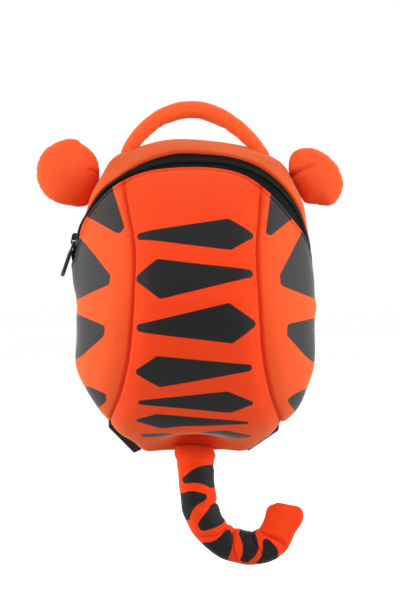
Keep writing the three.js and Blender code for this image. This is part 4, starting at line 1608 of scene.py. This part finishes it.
def back_panel():
    edge = contour(np.degrees(full_turn(200)), BACK_THICKNESS)
    reach = lerp(BACK.middle, BACK.edge, shares(60, ease=0.3))
    sewn = BACK.seam * bell(reach - BACK.seam_at, BACK.seam_reach)
    rear = np.stack([reach, reach**BACK.curl + sewn], axis=-1)
    front = np.stack([reach[::-1], np.full(len(reach), float(BACK_THICKNESS))], axis=-1)
    profile = np.concatenate([rear, BACK.rim, front])
    share = profile[:, :1]
    rings = vectors(edge[:, 0] * share, -profile[:, 1:], edge[:, 2] * share)
    marks = {"lay": lay_of(rings[..., 0], rings[..., 2])}
    piece("back_padding", tube(rings), FINISH.back, ["back_panel"], marks)


def on_strap(side, along, out, across):
    """A point of a strap's own frame: down along it, out of the back and across it."""
    top = np.array([side * STRAP.anchor[0], 0, STRAP.anchor[1]], float)
    foot = np.array([side * STRAP.foot[0], 0, STRAP.foot[1]], float)
    down = unit(foot - top)
    away = np.array([0.0, 1.0, 0.0])
    return top + along[..., None] * down + out[..., None] * away + across[..., None] * np.cross(down, away)


def swept(side, rows, count, half_width, beside, swell):
    """A pad or ribbon along a line of the strap's frame, from places round its section."""
    line = smooth_line(rows, count, placing=2)
    heading = unit(np.gradient(line[:, :2], axis=0))
    height = line[:, 2:3] * swell
    along = line[:, :1] - heading[:, 1:] * height
    out = line[:, 1:2] + heading[:, :1] * height
    rings = on_strap(side, along, out, half_width * beside + 0 * along)
    return rings, lay_of(half_width * beside, lengths_along(line[:, :2])[:, None])


def flat_section(count):
    """Places across a flat section, over it and back below it, and the face that each lies on."""
    half_round = np.linspace(-1, 1, count)
    beside = np.concatenate([half_round, half_round[::-1]])
    return beside[None, :], np.repeat([1.0, -1.0], count)[None, :]


def strap_pad(side, hand):
    beside, face = flat_section(34)
    from_edge = (1 - np.abs(beside)) * STRAP.half_width
    fullness = np.clip(from_edge / STRAP_EDGE.reach, 0, 1) ** STRAP_EDGE.fullness
    seam = STRAP_EDGE.seam * bell(from_edge - STRAP_EDGE.seam_at, STRAP_EDGE.seam_reach)
    swell = face * (lerp(STRAP_EDGE.thin, 1, fullness) - seam)
    rings, lay = swept(side, STRAP.rows, 120, STRAP.half_width, beside, swell)
    rings = rings + ripple(rings, UNEVEN.strap)[..., None] * np.array([0, 1, 0])
    marks = {"lay": lay}
    piece("strap_pad_" + hand, tube(rings), FINISH.plain, ["strap_" + hand], marks)


def by_adjuster(along, out):
    tilt = math.radians(ADJUSTER.tilt)
    return (
        ADJUSTER.along + along * math.cos(tilt) - out * math.sin(tilt),
        ADJUSTER.out + along * math.sin(tilt) + out * math.cos(tilt),
        WEBBING_HALF,
    )


def webbing_ribbon(side, name, rows, replaces):
    beside, face = flat_section(12)
    swell = face * (1 - WEBBING_EDGE.thin * bell(1 - np.abs(beside), WEBBING_EDGE.reach))
    rings, lay = swept(side, rows, 110, STRAP.webbing_half, beside, swell)
    piece(name, tube(rings), FINISH.webbing, replaces, {"lay": lay})


def corner_tab(side, hand):
    outline = [(side * x, z) for x, z in [*CORNER_TAB.sewn, *CORNER_TAB.shown[hand]]]
    count = len(outline)
    points = np.array([(x, y, z) for y in (CORNER_TAB.near, CORNER_TAB.far) for x, z in outline])
    around = np.arange(count)
    after = np.roll(around, -1)
    faces = np.stack([around, after, after + count, around + count], axis=-1).tolist()
    faces += [around[::-1].tolist(), (around + count).tolist()]
    form = points, faces
    made = piece("folded_tab_" + hand, form, FINISH.tab, ["corner_tab_" + hand], crease=35)
    soften_edges(made, BEVEL.tab)


def shoulder_strap(side, hand):
    strap_pad(side, hand)
    pad_end, pad_out, _ = STRAP.rows[-1]
    near_loop = [by_adjuster(along - ADJUSTER.bar_at, out) for along, out in BAR_LOOP]
    tucked = pad_end - TONGUE.tucked
    start, end = [(tucked, pad_out + out, WEBBING_HALF) for out in (TONGUE.outer, TONGUE.inner)]
    webbing_ribbon(side, "strap_tongue_" + hand, [start, *near_loop, end], [])
    far_loop = [by_adjuster(ADJUSTER.bar_at - along, out) for along, out in BAR_LOOP]
    half_way = (STRAP_LENGTH + far_loop[0][0]) / 2, (SEWN_OUT + far_loop[0][1]) / 2
    folded_end = half_way[0] - FOLDED_END.short, half_way[1] - FOLDED_END.under * WEBBING_HALF, WEBBING_HALF
    lower = [(STRAP_LENGTH, SEWN_OUT, WEBBING_HALF), (*half_way, WEBBING_HALF), *far_loop, folded_end]
    webbing_ribbon(side, "strap_webbing_" + hand, lower, ["webbing_" + hand])
    finished_solid("adjuster_" + hand, FINISH.plastic, BEVEL.adjuster)
    corner_tab(side, hand)


# Stage, in metres

SOFTBOXES = table(
    "name place target size power",
    ("left_softbox", (-1.45, -0.4, 0.2), (0, -0.05, 0), (1.6, 1.7), 38),
    ("right_softbox", (1.45, -0.4, 0.2), (0, -0.05, 0), (1.6, 1.7), 38),
    ("front_softbox", (0, -1.4, 1.4), (0, 0, 0), (1.4, 0.9), 9),
    ("low_softbox", (0, -0.9, -1.3), (0, -0.02, -0.1), (1.6, 0.8), 28),
    ("rear_softbox", (0, 1.6, 1.0), (0, 0, 0), (1.8, 1.2), 16),
)
SKY = Sizes(lights=0.3, seen=1.02)
FLOOR = Sizes(half=60, drop=0.12, dark=0.93, light=0.96, noise_scale=0.8, glow=0.75)


def softbox(name, place, target, size, power):
    light = bpy.data.lights.new(name, "AREA")
    light.shape = "RECTANGLE"
    light.size, light.size_y = size
    light.energy = power
    made = linked(name, light)
    made.location = place
    made.rotation_euler = (Vector(target) - made.location).to_track_quat("-Z", "Y").to_euler()


def studio():
    scene = bpy.context.scene
    scene.view_settings.view_transform = "Standard"
    world = bpy.data.worlds.new("studio")
    scene.world = world
    world.use_nodes = True
    start = Wire(world.node_tree)
    seen = start.node("LightPath", {}, output="Is Camera Ray")
    sky = world.node_tree.nodes["Background"]
    strength = SKY.lights + seen * (SKY.seen - SKY.lights)
    start.plug(sky, {"Color": colour(1.0, 1.0, 1.0), "Strength": strength})
    for box in SOFTBOXES:
        softbox(**vars(box))


def floor():
    material, start, shader = new_finish("pale_floor")
    tone = start.noise(start.place(), FLOOR.noise_scale)
    pale = start.mix(tone, toned(FLOOR.dark, 1, 1, 1), toned(FLOOR.light, 1, 1, 1))
    looks = {"Base Color": pale, "Roughness": 0.9, "Emission Color": pale, "Emission Strength": FLOOR.glow}
    start.plug(shader, looks)
    height = cad_box[0].z - FLOOR.drop
    corners = [(x * FLOOR.half, y * FLOOR.half, height) for x, y in ((-1, -1), (1, -1), (1, 1), (-1, 1))]
    mesh = bpy.data.meshes.new("floor")
    mesh.from_pydata(corners, [], [(0, 1, 2, 3)])
    mesh.materials.append(material)
    made = linked("floor", mesh)
    made.visible_diffuse = False
    made.visible_glossy = False


def camera():
    data = bpy.data.cameras.new("camera")
    data.sensor_width = SENSOR
    data.lens = SENSOR * (EYE.depth - TRUE_DEPTH) / FRAME_HEIGHT
    made = linked("camera", data)
    made.location = (EYE.x * MM, -EYE.depth * MM, EYE.z * MM)
    made.rotation_euler = (QUARTER_TURN, 0, 0)
    bpy.context.scene.camera = made


camera()
studio()
floor()
sewn = [centre_panel()]
sewn.append(side_panel(1, "side_panel_right", RIGHT_STRIPES))
sewn.append(side_panel(-1, "side_panel_left", LEFT_STRIPES))
stitches("zip_edge_stitches", sewn)
gusset()
zip_tape()
zip_coil()
handle()
for ear_sizes in EARS:
    ear(**vars(ear_sizes))
tail()
back_panel()
shoulder_strap(-1, "left")
shoulder_strap(1, "right")
finished_solid("zip_slider", FINISH.enamel, BEVEL.slider)
bridge_web()
puller_loop("puller_eye", PULLER_EYE, ["zip_puller"])
puller_loop("puller_grip", PULLER_GRIP)
